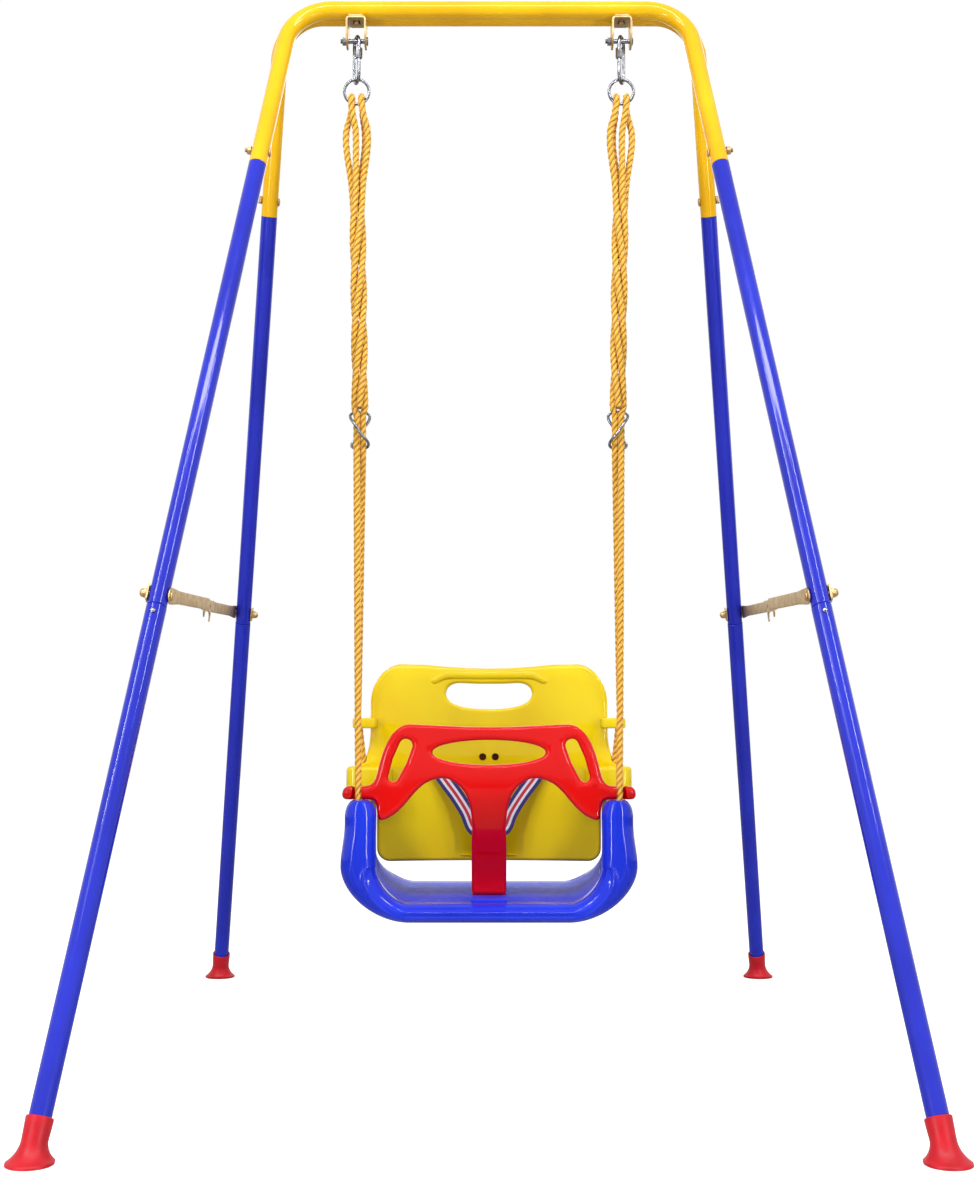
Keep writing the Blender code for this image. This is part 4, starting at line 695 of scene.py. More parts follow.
def joined(obj: Piece, other: Piece) -> None:
    """Adds another object's mesh to this one and removes the other.

    Args:
        obj: The object that is changed.
        other: The other one, which is used up.
    """
    shape = bmesh.new()
    shape.from_mesh(obj.data)
    shape.from_mesh(other.data)
    shape.to_mesh(obj.data)
    shape.free()
    bpy.data.objects.remove(other, do_unlink=True)


def applied(obj: Piece) -> None:
    """Bakes an object's modifiers into its mesh.

    Args:
        obj: The object that is changed.
    """
    bpy.context.view_layer.update()
    graph = bpy.context.evaluated_depsgraph_get()
    data = bpy.data.meshes.new_from_object(obj.evaluated_get(graph))
    obj.modifiers.clear()
    old = obj.data
    obj.data = data
    bpy.data.meshes.remove(old)


def cut(obj: Piece, cutter: Piece, operation: str = "DIFFERENCE") -> None:
    """Cuts another object out of this one, or joins it on, and bakes the result.

    Args:
        obj: The object that is changed.
        cutter: The other one, which is used up.
        operation: "DIFFERENCE" or "UNION".
    """
    modifier = obj.modifiers.new("cut", "BOOLEAN")
    modifier.operation = operation
    modifier.object = cutter
    applied(obj)
    bpy.data.objects.remove(cutter, do_unlink=True)


def skin(shape: Shape, rings: Rings, closed: bool = False) -> list[list[bmesh.types.BMVert]]:
    """Faces between rings of points.

    Args:
        shape: The bmesh that takes the faces.
        rings: Rings with the same number of points.
        closed: Whether the last ring joins the first; otherwise both ends are filled.

    Returns:
        The rings of vertices.
    """
    made = [[shape.verts.new(point) for point in ring] for ring in rings]
    spans = list(zip(made, made[1:]))
    if closed:
        spans.append((made[-1], made[0]))
    for first, second in spans:
        for index, corner in enumerate(first):
            after = (index + 1) % len(first)
            shape.faces.new((corner, first[after], second[after], second[index]))
    if not closed:
        shape.faces.new(list(reversed(made[0])))
        shape.faces.new(made[-1])
    bmesh.ops.recalc_face_normals(shape, faces=shape.faces)
    return made


def turned(shape: Shape, profile: Outline, matrix: Matrix, steps: int, sides: int = 0) -> Shape:
    """Adds a turned body to a bmesh.

    Args:
        shape: The bmesh that takes it.
        profile: Radius and height, from one end on the axis to the other.
        matrix: Where its own Z axis goes.
        steps: Points around.
        sides: A positive number gives flats instead of a round, with corners as far out as the profile.

    Returns:
        The same bmesh.
    """
    closed = profile[0][0] > 0
    flat = max(radius for radius, _ in profile) * cos(pi / sides) if sides else 0.0
    rings = []
    for radius, height in profile:
        ring = []
        for step in range(steps):
            angle = tau * step / steps
            reach = max(radius, 1e-5)
            if sides:
                turn = (angle % (tau / sides)) - pi / sides
                reach = min(reach, 1.0 / cos(turn) * flat)
            ring.append(matrix @ Vector((reach * cos(angle), reach * sin(angle), height)))
        rings.append(ring)
    skin(shape, rings, closed=closed)
    return shape


def frames(points: Sequence[Vector], closed: bool = False) -> list[tuple[Vector, Vector]]:
    """Two square directions at each point of a line, carried along without twist.

    Args:
        points: The line.
        closed: Whether it is a loop.

    Returns:
        The two directions at each point.
    """
    count = len(points)
    tangents = []
    for index in range(count):
        after = points[(index + 1) % count] if closed else points[min(index + 1, count - 1)]
        before = points[index - 1] if closed or index else points[0]
        tangents.append((after - before).normalized())
    side = tangents[0].orthogonal().normalized()
    pairs = []
    for tangent in tangents:
        side = (side - tangent * side.dot(tangent)).normalized()
        pairs.append((side, tangent.cross(side)))
    return pairs


def wire(shape: Shape, points: Sequence[Vector], radius: float, steps: int, closed: bool = False) -> Shape:
    """Adds a round wire along a line, with softened ends.

    Args:
        shape: The bmesh that takes it.
        points: The wire's middle line.
        radius: Half its thickness.
        steps: Points around.
        closed: Whether it is a loop.

    Returns:
        The same bmesh.
    """
    angles = [tau * step / steps for step in range(steps)]
    rings = []
    for point, (first, second) in zip(points, frames(points, closed)):
        rings.append([point + (first * cos(a) + second * sin(a)) * radius for a in angles])
    if not closed:
        for end, neighbour, place in ((0, 1, 0), (-1, -2, len(rings) + 1)):
            away = (points[end] - points[neighbour]).normalized() * radius * 0.25
            middle = points[end]
            rings.insert(place, [middle + away + (corner - middle) * 0.72 for corner in rings[end]])
    skin(shape, rings, closed=closed)
    return shape


def slab(name: str, outlines: Sequence[Outline], thickness: float, edge: float) -> Piece:
    """A flat plate in local XY with rounded rims, holes included.

    Args:
        name: The piece's name.
        outlines: The rim and then the holes.
        thickness: Full thickness.
        edge: Radius of the rounded rims.

    Returns:
        The plate as a mesh object.
    """
    curve = bpy.data.curves.new(name, "CURVE")
    curve.dimensions = "2D"
    curve.fill_mode = "BOTH"
    curve.extrude = thickness / 2 - edge
    curve.bevel_depth = edge
    curve.bevel_resolution = 4
    curve.offset = -edge
    for outline in outlines:
        spline = curve.splines.new("POLY")
        spline.points.add(len(outline) - 1)
        for point, place in zip(spline.points, outline):
            point.co = (place[0], place[1], 0, 1)
        spline.use_cyclic_u = True
    holder = bpy.data.objects.new(name, curve)
    bpy.context.scene.collection.objects.link(holder)
    bpy.context.view_layer.update()
    graph = bpy.context.evaluated_depsgraph_get()
    data = bpy.data.meshes.new_from_object(holder.evaluated_get(graph))
    bpy.data.objects.remove(holder, do_unlink=True)
    bpy.data.curves.remove(curve)
    shape = bmesh.new()
    shape.from_mesh(data)
    bpy.data.meshes.remove(data)
    bmesh.ops.remove_doubles(shape, verts=shape.verts, dist=TOUCH)
    return mesh(name, shape)


def gridded(obj: Piece, low: Vector, high: Vector, spacing: float) -> None:
    """Cuts a mesh on a grid of local X and Y planes, so that it bends smoothly.

    Args:
        obj: The flat plate.
        low: The grid's lowest corner.
        high: Its highest corner.
        spacing: About how far its lines are apart.
    """
    shape = bmesh.new()
    shape.from_mesh(obj.data)
    for axis in (0, 1):
        count = int((high[axis] - low[axis]) / spacing)
        for step in range(1, count):
            place = Vector((0, 0, 0))
            place[axis] = low[axis] + (high[axis] - low[axis]) * step / count
            normal = Vector((0, 0, 0))
            normal[axis] = 1
            geometry = shape.verts[:] + shape.edges[:] + shape.faces[:]
            bmesh.ops.bisect_plane(shape, geom=geometry, dist=TOUCH, plane_co=place, plane_no=normal)
    shape.to_mesh(obj.data)
    shape.free()


def add_hexagon(shape: Shape, radius: float, low: float, high: float, matrix: Matrix) -> None:
    """Adds a hexagon nut with chamfered corners.

    Args:
        shape: The bmesh that takes it.
        radius: From its middle to a corner.
        low: Height of its lower face.
        high: Height of its upper face.
        matrix: Where its own Z axis goes.
    """
    inner, chamfer = radius * 0.88, radius * 0.12
    profile = [(0, high), (inner, high), (radius, high - chamfer)]
    profile += [(radius, low + chamfer), (inner, low), (0, low)]
    turned(shape, profile, matrix, 48, 6)


def thread(radius: float, low: float, high: float) -> Outline:
    """A rolled thread's profile.

    Args:
        radius: To the crests.
        low: Height of its lower end.
        high: Height of its upper end.

    Returns:
        Radius and height, from the top down.
    """
    count = max(2, int(abs(high - low) / THREAD_PITCH))
    points = []
    for step in range(count):
        top = high + (low - high) * step / count
        middle = high + (low - high) * (step + 0.5) / count
        points += [(radius, top), (radius * 0.88, middle)]
    points.append((radius, low))
    return points


def headed(face: float, steps: Outline) -> Outline:
    """A bolt head's profile, standing down from its face by radius and depth."""
    return [(radius, face - depth) for radius, depth in steps]


# Each foot: height over the floor and radius.
FOOT: Outline = [
    (0.0400, 0.0121), (0.0416, 0.0126), (0.0420, 0.0131), (0.0416, 0.0136), (0.0400, 0.0138),
    (0.0320, 0.0134), (0.0250, 0.0131), (0.0205, 0.0131), (0.0170, 0.0137), (0.0130, 0.0152),
    (0.0090, 0.0176), (0.0060, 0.0201), (0.0040, 0.0224), (0.0030, 0.0238), (0.0018, 0.0240),
    (0.0004, 0.0238), (0.0, 0.0232), (0.0, 0.0100), (0.0, 0.0005),
]

# Bolt and rivet heads: radius and depth below the face they sit on.
JOINT_HEAD: Outline = [
    (0.0055, 0), (0.0055, 0.0004), (0.0050, 0.0012), (0.0034, 0.0019), (0.0014, 0.0022), (0, 0.0022)
]
BRACE_HEAD: Outline = [(0.0055, 0), (0.0055, 0.0004), (0.0048, 0.0014), (0.0025, 0.0021), (0, 0.0022)]
RIVET_HEAD: Outline = [(0.0048, 0), (0.0046, 0.0008), (0.0036, 0.0015), (0.0018, 0.0019), (0, 0.0020)]
PIN_HEAD: Outline = [
    (0, -0.0022), (0.0030, -0.0021), (0.0046, -0.0016), (0.0054, -0.0008), (0.0056, -0.0002), (0.0054, 0)
]


@dataclass
class Stand:
    """The leg tubes, feet and bolts of one of the two tube frames.

    Attributes:
        name: "front" or "rear".
        sign: -1 at the front, +1 at the rear.
        corner_half: Half the distance between the bar's virtual corners.
        pivot: Distance down the leg to the brace's pivot.
        tilt: Lean of the brace pivot's axis in degrees.
        body: The body that the frame rides on.
    """

    name: str
    sign: int
    corner_half: float
    pivot: float
    tilt: float
    body: str
    bar_height: float = 1.3495
    bar_offset: float = 0.0114
    foot_half: float = 0.4437
    foot_reach: float = 0.580
    bend_radius: float = 0.060
    stub: float = 0.254
    tube: float = 0.0111
    lower_tube: float = 0.0114
    wall: float = 0.0011
    insert: float = 0.045
    fit: float = 0.0004
    gap: float = 0.0003
    bolt_inset: float = 0.020
    button_offset: float = 0.010

    def __post_init__(self) -> None:
        """Works out the right leg's line."""
        self.corner = Vector((self.corner_half, self.sign * self.bar_offset, self.bar_height))
        self.foot_centre = Vector((self.foot_half, self.sign * self.foot_reach, 0))
        self.down = (self.foot_centre - self.corner).normalized()
        self.length = (self.foot_centre - self.corner).length
        self.seam = self.pivot + self.bolt_inset * 0.75
        angle = radians(self.tilt)
        self.axis = Vector((cos(angle), 0, sin(angle)))

    def at(self, distance: float) -> Vector:
        """The point of the leg's centre line this far from the bar's corner."""
        return self.corner + self.down * distance

    def along(self) -> Matrix:
        """Local Z up the leg."""
        return frame_matrix(self.corner, -self.down, self.axis)

    def across(self, distance: float) -> Matrix:
        """Local Z outwards along the brace pivot's axis."""
        return frame_matrix(self.at(distance), self.axis, -self.down)

    def facing(self, distance: float) -> Matrix:
        """Local Z square to the frame's plane, away from the other frame.

        Args:
            distance: Distance down the leg.

        Returns:
            The place.
        """
        normal = self.down.cross(ACROSS).normalized()
        if normal.y * self.sign < 0:
            normal = -normal
        return frame_matrix(self.at(distance), normal, -self.down)

    def node(self, part: str, side: Side) -> str:
        """A node's name in this frame."""
        return f"{self.name}_{part}_{side.value}"

    def bent_line(self) -> list[Vector]:
        """The bent tube's centre line, left end to right end.

        Returns:
            The line's points.
        """
        along = Vector((-1, 0, 0))
        angle = along.angle(self.down)
        run = self.bend_radius / tan(angle / 2)
        centre = self.corner + (along + self.down).normalized() * self.bend_radius / sin(angle / 2)
        start = self.corner + along * run - centre
        finish = self.corner + self.down * run - centre
        sweep = start.angle(finish)
        normal = start.cross(finish).normalized()
        half = [Vector((x * 0.02, self.corner.y, self.bar_height)) for x in range(0, 9)]
        for step in range(25):
            half.append(centre + Matrix.Rotation(sweep * step / 24, 3, normal) @ start)
        half += [self.at(run + (self.stub - run) * step / 6) for step in range(1, 7)]
        return [MIRROR @ point for point in reversed(half[1:])] + half

    def top_tube(self) -> None:
        """The bent tube, with its wall shown at both ends."""
        points = self.bent_line()
        pairs = frames(points)
        steps = 40
        angles = [tau * step / steps for step in range(steps)]

        def ring(index: int, radius: float) -> list[Vector]:
            first, second = pairs[index]
            return [points[index] + (first * cos(a) + second * sin(a)) * radius for a in angles]

        last = len(points) - 1
        outside = [ring(index, self.tube) for index in range(1, last)]
        inside = [ring(index, self.tube - self.wall) for index in range(last - 1, 0, -1)]
        ends = []
        bore = self.tube - self.wall
        rim = ((self.tube, 0.0004), (self.tube - 0.0003, 0.0), (bore + 0.0001, 0.0), (bore, 0.0003))
        for index, neighbour in ((last, last - 1), (0, 1)):
            away = (points[index] - points[neighbour]).normalized()
            ends.append([[corner - away * back for corner in ring(index, radius)] for radius, back in rim])
        shape = bmesh.new()
        skin(shape, outside + ends[0] + inside + list(reversed(ends[1])), closed=True)
        obj = mesh(f"{self.name}_bent_tube", shape)
        dress(obj, YELLOW_PAINT, self.body, [f"{self.name}_top_tube"])

    def leg_profiles(self) -> dict[str, Outline]:
        """Radius and height of the two leg tubes along the leg, swaged where one enters the next.

        Returns:
            The profiles by the tube's name.
        """
        insert = self.tube - self.wall - self.fit
        lower = self.lower_tube - self.wall - self.fit
        stub, seam = self.stub, self.seam
        soft = 0.0005
        upper = [
            (insert - 0.0006, -(stub - self.insert)), (insert, -(stub - self.insert + 0.0006)),
            (insert, -(stub + self.gap)), (self.tube - soft, -(stub + self.gap)),
            (self.tube, -(stub + self.gap + soft)), (self.tube, -(seam - 0.014)),
            (self.tube - 0.0001, -(seam - 0.012)), (self.tube - 0.0001, -(seam - 0.001)),
            (lower + 0.0002, -seam), (lower, -(seam + self.insert - 0.001)),
            (lower - 0.0008, -(seam + self.insert)), (lower - self.wall, -(seam + self.insert)),
            (lower - self.wall, -(seam - 0.006)), (insert - self.wall, -(stub + 0.006)),
            (insert - self.wall, -(stub - self.insert)),
        ]
        top = -(seam + self.gap)
        end = -(self.length - 0.008 / abs(self.down.z))
        bore = self.lower_tube - self.wall
        lower_leg = [(self.lower_tube - 0.0003, top), (self.lower_tube, top - 0.0004), (self.lower_tube, end)]
        lower_leg += [(bore, end), (bore, top - 0.0003), (bore + 0.0002, top)]
        return {"upper_leg": upper, "lower_leg": lower_leg}

    def legs(self) -> None:
        """Both leg tubes on both sides."""
        for side in Side:
            for part, profile in self.leg_profiles().items():
                shape = turned(bmesh.new(), profile, self.along(), 40)
                piece(self.node(part, side), "tube", shape, BLUE_PAINT, self.body, side.flip)

    def feet(self) -> None:
        """Feet: a sleeve that narrows to a neck and flares to a flat base."""
        lean = self.down / self.down.z
        steps = 44
        across = frame_matrix(Vector(), -self.down, self.axis).to_3x3()
        rings = []
        for height, radius in FOOT:
            share = ease((height - 0.012) / 0.024)
            centre = self.foot_centre + lean * height
            ring = []
            for step in range(steps):
                angle = tau * step / steps
                flat = Vector((cos(angle), sin(angle), 0))
                ring.append(centre + flat.lerp(across @ flat, share).normalized() * radius)
            rings.append(ring)
        for side in Side:
            shape = bmesh.new()
            skin(shape, rings)
            piece(self.node("foot", side), "cup", shape, FOOT_RUBBER, self.body, side.flip, 40)

    def joint_bolts(self) -> None:
        """The bolts that pin the legs into the bent tube, nuts outwards."""
        matrix = self.across(self.stub - self.bolt_inset)
        seat = self.tube + self.gap
        end = seat + 0.0048 + 0.0030
        profile = [(0, end), (0.0022, end), *thread(0.0028, seat + 0.0030, end - 0.0004), (0.0028, -seat)]
        profile += headed(-seat, JOINT_HEAD)
        washer = headed(seat, [(0, -0.0008), (0.0054, -0.0008), (0.0055, -0.0003), (0.0054, 0), (0, 0)])
        for side in Side:
            shape = turned(bmesh.new(), profile, matrix, 32)
            add_hexagon(shape, 0.0052, seat, seat + 0.0048, matrix)
            turned(shape, washer, matrix, 32)
            piece(self.node("joint_bolt", side), "and_nut", shape, ZINC, self.body, side.flip)

    def spring_buttons(self) -> None:
        """The snap buttons with the leaf springs that push them out."""
        matrix = self.facing(self.seam + self.button_offset)
        inner = self.lower_tube - self.wall - self.fit - self.wall - 0.0010 - 0.0016
        top = self.lower_tube + 0.0024
        dome = []
        for angle in map(radians, (80, 60, 40, 20, 0)):
            dome.append((0.0030 * cos(angle), top - 0.0014 + 0.0014 * sin(angle)))
        for side in Side:
            shape = turned(bmesh.new(), [(0, top), *dome, (0.0030, inner), (0, inner)], matrix, 28)
            leaf = bmesh.ops.create_cube(shape, size=1)["verts"]
            bmesh.ops.scale(shape, verts=leaf, vec=(0.030, 0.006, 0.0010))
            bmesh.ops.translate(shape, verts=leaf, vec=(0, 0, inner - 0.0005))
            bmesh.ops.transform(shape, verts=leaf, matrix=matrix)
            node = self.node("button", side)
            piece(node, "spring", shape, BRIGHT, node, side.flip)

    def build(self) -> None:
        """Builds the frame's tubes, feet and fasteners."""
        self.top_tube()
        self.legs()
        self.feet()
        self.joint_bolts()
        self.spring_buttons()


FRONT = Stand("front", -1, 0.2552, 0.8564, 7.0, "front_frame")
REAR = Stand("rear", 1, 0.2716, 0.8346, 8.5, "rear_frame")


@dataclass
class Braces:
    """The folding braces on both sides: pressed strip links, pivot bolts, hinge rivets and catches."""

    thickness: float = 0.0018
    half_height: float = 0.0075
    end_half: float = 0.0095
    end_taper: float = 0.060
    jog_start: float = 0.085
    jog_end: float = 0.050
    space: float = 0.0004
    catch_pivot: float = 0.034
    gap: float = 0.0003
    nut_radius: float = 0.0058
    nut_length: float = 0.0085
    plate: float = 0.0022
    plate_half: float = 0.0095
    bead_depth: float = 0.0004
    bead_width: float = 0.0028

    def direction(self, frame: Stand) -> Vector:
        """From this frame's pivot to the other frame's."""
        other = REAR if frame is FRONT else FRONT
        return other.at(other.pivot) - frame.at(frame.pivot)

    def place(self, frame: Stand) -> Matrix:
        """Local X from the leg's pivot towards the other leg, local Z outwards along the pivot."""
        return frame_matrix(frame.at(frame.pivot), frame.axis, self.direction(frame))

    def length(self) -> float:
        """Each link's length between its pivots."""
        span = self.direction(FRONT)
        return hypot(span.y, span.z) / 2

    def hinge(self) -> Vector:
        """The middle hinge's centre, halfway between the two links.

        Returns:
            The hinge's centre.
        """
        front = FRONT.at(FRONT.pivot) - FRONT.axis * (FRONT.tube + self.gap)
        rear = REAR.at(REAR.pivot) + REAR.axis * (REAR.tube + self.gap)
        return (front + rear) / 2

    def level(self, frame: Stand) -> float:
        """The hinge's height above this frame's pivot plane."""
        return (self.place(frame).inverted() @ self.hinge()).z

    def half_at(self, x: float) -> float:
        """Half the link's height at a distance from its leg pivot.

        Args:
            x: Distance from the leg's pivot.

        Returns:
            Half the height there.
        """
        length = self.length()
        if x < 0:
            return sqrt(max(self.end_half**2 - x * x, 1e-9))
        if x > length:
            return sqrt(max(self.half_height**2 - (x - length) ** 2, 1e-9))
        return self.end_half + (self.half_height - self.end_half) * ease(x / self.end_taper)

    def link(self, frame: Stand, side: Side) -> None:
        """One pressed strip link with a shallow bead along its middle.

        Args:
            frame: The frame that it is bolted to.
            side: The side it is on.
        """
        length = self.length()
        sign = -1 if frame is FRONT else 1
        near = sign * (frame.tube + self.gap + self.thickness / 2)
        far = self.level(frame) + sign * (self.thickness / 2 + self.space / 2)
        stations = [-self.end_half * cos(radians(a)) for a in (8, 20, 35, 50, 65, 80)]
        stations += [length * step / 60 for step in range(61)]
        stations += [length + self.half_height * sin(radians(a)) for a in (12, 28, 45, 60, 75, 84)]
        rows = 9
        shape = bmesh.new()
        rings = []
        for x in stations:
            t = (x - (length - self.jog_start)) / (self.jog_start - self.jog_end)
            centre = near + (far - near) * (0.35 * ease(t) + 0.65 * min(max(t, 0.0), 1.0))
            bead = ease((x - 0.020) / 0.020) * ease((length - self.jog_start - 0.010 - x) / 0.020)
            half = self.half_at(x)
            outer, inner = [], []
            for row in range(rows):
                y = -half + 2 * half * row / (rows - 1)
                dip = self.bead_depth * bead * exp(-((y / self.bead_width) ** 2))
                edge = 0.0004 if row in (0, rows - 1) else 0.0
                outer.append(Vector((x, y * (1 - edge * 30), centre + self.thickness / 2 - edge - dip)))
                inner.append(Vector((x, y * (1 - edge * 30), centre - self.thickness / 2 + edge - dip * 0.5)))
            rings.append(outer + list(reversed(inner)))
        skin(shape, rings)
        node = f"brace_{frame.name}_link_{side.value}"
        body = f"{frame.name}_link_{side.value}"
        piece(node, "strip", shape, ZINC, body, side.flip @ self.place(frame), 50)

    def pivot_bolt(self, frame: Stand, side: Side) -> None:
        """A leg's pivot bolt with its plate and cap nut.

        Args:
            frame: The frame that it goes through.
            side: The side it is on.
        """
        flip = Matrix.Rotation(0 if frame is FRONT else pi, 4, "X")
        matrix = frame.across(frame.pivot) @ flip
        leg = frame.tube + self.gap
        link = leg + self.thickness + self.gap
        nut = leg + self.plate
        end = nut + self.nut_length
        shape = bmesh.new()
        dome = []
        for turn in map(radians, (85, 65, 45, 25, 0)):
            dome.append((self.nut_radius * 0.86 * cos(turn), end - 0.0042 + 0.0042 * sin(turn)))
        profile = [(0, end), *dome, (self.nut_radius * 0.86, nut), (0.0030, nut), (0.0030, -link)]
        profile += headed(-link, BRACE_HEAD)
        turned(shape, profile, matrix, 32)
        add_hexagon(shape, self.nut_radius, nut, nut + 0.0042, matrix)
        node = f"{frame.name}_brace_bolt_{side.value}"
        obj = mesh(f"{node}_pivot", shape, side.flip)
        base = slab(f"{node}_plate", [rounded(self.plate_half, 0.0060, 0.0018)], self.plate, 0.0004)
        lift = Matrix.Translation((0, 0, leg + self.plate / 2))
        joined(obj, placed(base, side.flip @ matrix @ lift))
        dress(obj, ZINC, frame.body, [node])

    def rivet(self, side: Side) -> None:
        """The hinge rivet that rides on the front link.

        Args:
            side: The side it is on.
        """
        level = self.level(FRONT)
        face = level - self.space / 2 - self.thickness
        place = self.place(FRONT) @ Matrix.Translation((self.length(), 0, 0))
        shape = bmesh.new()
        low = face - self.gap
        profile = [(0, level - self.space / 2), (0.0024, level - self.space / 2), (0.0024, low)]
        turned(shape, profile + headed(low, RIVET_HEAD), place, 28)
        piece(f"brace_rivet_{side.value}", "head", shape, ZINC, f"front_link_{side.value}", side.flip)

    def catch(self, side: Side) -> None:
        """The spring catch with its thumb tab.

        Args:
            side: The side it is on.
        """
        low = -self.half_height
        pivot = self.catch_pivot
        outline = [
            (-0.012, low - 0.002), (-0.006, low - 0.0085), (-0.001, low - 0.001),
            (pivot - 0.004, low - 0.002), (pivot + 0.001, low - 0.0125), (pivot + 0.004, low - 0.0115),
            (pivot + 0.003, low + 0.0015), (0.008, 0.0032), (0.0, 0.0040), (-0.008, 0.0024),
            (-0.012, low + 0.004),
        ]
        level = self.level(FRONT) - self.space / 2 - self.thickness - self.gap - 0.0009
        place = self.place(FRONT) @ Matrix.Translation((self.length() - self.catch_pivot, 0, level))
        node = f"brace_catch_{side.value}"
        obj = slab(f"{node}_hook", [smoothed(outline, 4)], 0.0018, 0.0004)
        placed(obj, side.flip @ place)
        shape = bmesh.new()
        reach = self.gap + self.thickness + 0.0019
        pin = [(0, reach), (0.0016, reach), (0.0018, reach - 0.0003), (0.0018, 0), (0, 0)]
        turned(shape, pin, side.flip @ place, 20)
        joined(obj, mesh("catch_pin", shape))
        dress(obj, ZINC, f"catch_{side.value}", [node])

    def build(self) -> None:
        """Builds both braces."""
        for side in Side:
            for frame in (FRONT, REAR):
                self.link(frame, side)
                self.pivot_bolt(frame, side)
            self.rivet(side)
            self.catch(side)


@dataclass
class Hangers:
    """Brackets, clips, pins, quick links, sleeves and rings under the top tubes."""

    x: float = 0.172
    bar_height: float = FRONT.bar_height
    tube: float = FRONT.tube
    offset: float = FRONT.bar_offset
    width: float = 0.0262
    depth: float = 0.032
    thickness: float = 0.0025
    bend: float = 0.005
    pin_drop: float = 0.0405
    ear: float = 0.0105
    clip_width: float = 0.018
    clip_thickness: float = 0.0015
    wrap_end: float = 115.0
    gap: float = 0.0003
    link_length: float = 0.064
    link_width: float = 0.026
    link_wire: float = 0.00225
    link_turn: float = 20.0
    ring_radius: float = 0.016
    ring_wire: float = 0.0020

    def __post_init__(self) -> None:
        """Works out heights from the bar down."""
        self.pin_z = self.bar_height - self.pin_drop
        self.web_top = self.bar_height - self.tube - self.clip_thickness - 2 * self.gap
        self.link_top = self.pin_z + 0.0030 + self.gap + 2 * self.link_wire
        self.link_bottom = self.link_top - self.link_length
        self.mouth = (self.link_top + self.link_bottom) / 2 + 0.005
        self.ring_z = self.link_bottom + 2 * self.link_wire + self.gap + self.ring_wire - self.ring_radius

    def strip(self, node: str, made: str, rows: Rings, thickness: float, edge: float, side: Side) -> None:
        """A strip of sheet bent through rows of points.

        Args:
            node: The node it stands for.
            made: What the piece is, for its name.
            rows: Rows of points across its middle surface.
            thickness: The sheet's thickness.
            edge: Radius of its broken edges.
            side: The side it is on.
        """
        shape = bmesh.new()
        made_rows = [[shape.verts.new(point) for point in row] for row in rows]
        for first, second in zip(made_rows, made_rows[1:]):
            for step in range(len(first) - 1):
                shape.faces.new((first[step], first[step + 1], second[step + 1], second[step]))
        obj = mesh(f"{node}_{made}", shape, side.flip)
        solid = obj.modifiers.new("plate", "SOLIDIFY")
        solid.thickness = thickness
        solid.offset = 0
        soft = obj.modifiers.new("edge", "BEVEL")
        soft.width = edge
        soft.segments = 2
        soft.limit_method = "ANGLE"
        soft.angle_limit = radians(50)
        applied(obj)
        dress(obj, ZINC, "front_frame", [node])

    def bracket(self, side: Side) -> None:
        """A strap bent into a clevis, with round ears.

        Args:
            side: The side it is on.
        """
        half_x = self.width / 2 - self.thickness / 2
        radius = self.bend - self.thickness / 2
        low = self.pin_z - self.ear
        top = self.web_top - self.thickness / 2
        line: Outline = [(-half_x, low + 0.0005 + (top - radius - low) * step / 14) for step in range(15)]
        line += arc((-half_x + radius, top - radius), radius, 180, 90, 8)[1:]
        line += [(-half_x + radius + (2 * half_x - 2 * radius) * step / 6, top) for step in range(1, 7)]
        line += arc((half_x - radius, top - radius), radius, 90, 0, 8)[1:]
        line += [(half_x, top - radius - (top - radius - low - 0.0005) * step / 14) for step in range(1, 15)]
        rows: Rings = []
        across = 17
        for x, z in line:
            reach = self.depth / 2
            into = low + reach - z
            if into > 0:
                reach = sqrt(max(reach**2 - into**2, 1e-8))
            steps = [-reach + 2 * reach * step / (across - 1) for step in range(across)]
            rows.append([Vector((self.x + x, -self.offset + y, z)) for y in steps])
        self.strip(f"hanger_bracket_{side.value}", "strap", rows, self.thickness, 0.0005, side)

    def clip(self, side: Side) -> None:
        """The flat strip that wraps round the rear tube.

        Args:
            side: The side it is on.
        """
        middle = self.tube + self.gap + self.clip_thickness / 2
        tail = -self.offset - self.depth / 2
        line: Outline = [(tail + (self.offset - tail) * step / 8, -middle) for step in range(8)]
        line += arc((self.offset, 0), middle, -90, self.wrap_end, 40)
        steps = [self.x + self.clip_width * (step / 6 - 0.5) for step in range(7)]
        rows = [[Vector((x, y, self.bar_height + z)) for x in steps] for y, z in line]
        self.strip(f"tube_clip_{side.value}", "strip", rows, self.clip_thickness, 0.0003, side)

    def hanger_bolt(self, side: Side) -> None:
        """The bolt up through the web into the front tube.

        Args:
            side: The side it is on.
        """
        seat = self.web_top - self.thickness - self.gap
        top = self.bar_height - self.tube + 0.008
        shape = bmesh.new()
        matrix = Matrix.Translation((self.x, -self.offset, 0))
        turned(shape, [(0, top), *thread(0.0028, seat, top), (0, seat)], matrix, 24)
        add_hexagon(shape, 0.0050, seat - 0.0030, seat, matrix)
        piece(f"hanger_bolt_{side.value}", "screw", shape, ZINC, "front_frame", side.flip)

    def pin(self, side: Side) -> None:
        """The pin through the bracket, its nut and thread on the left on both sides.

        Args:
            side: The side it is on.
        """
        place = Vector((side.sign * self.x, -self.offset, self.pin_z))
        matrix = frame_matrix(place, ACROSS, UP)
        seat = self.width / 2 + self.gap
        end = -seat - 0.0050 - 0.0025
        profile = [*headed(seat, PIN_HEAD), (0.0030, seat), (0.0030, -seat)]
        profile += [*thread(0.0030, end + 0.0003, -seat - 0.0040), (0.0024, end), (0, end)]
        shape = turned(bmesh.new(), profile, matrix, 32)
        add_hexagon(shape, 0.0056, -seat - 0.0050, -seat, matrix)
        piece(f"hanger_pin_{side.value}", "bolt", shape, BRIGHT, "front_frame")

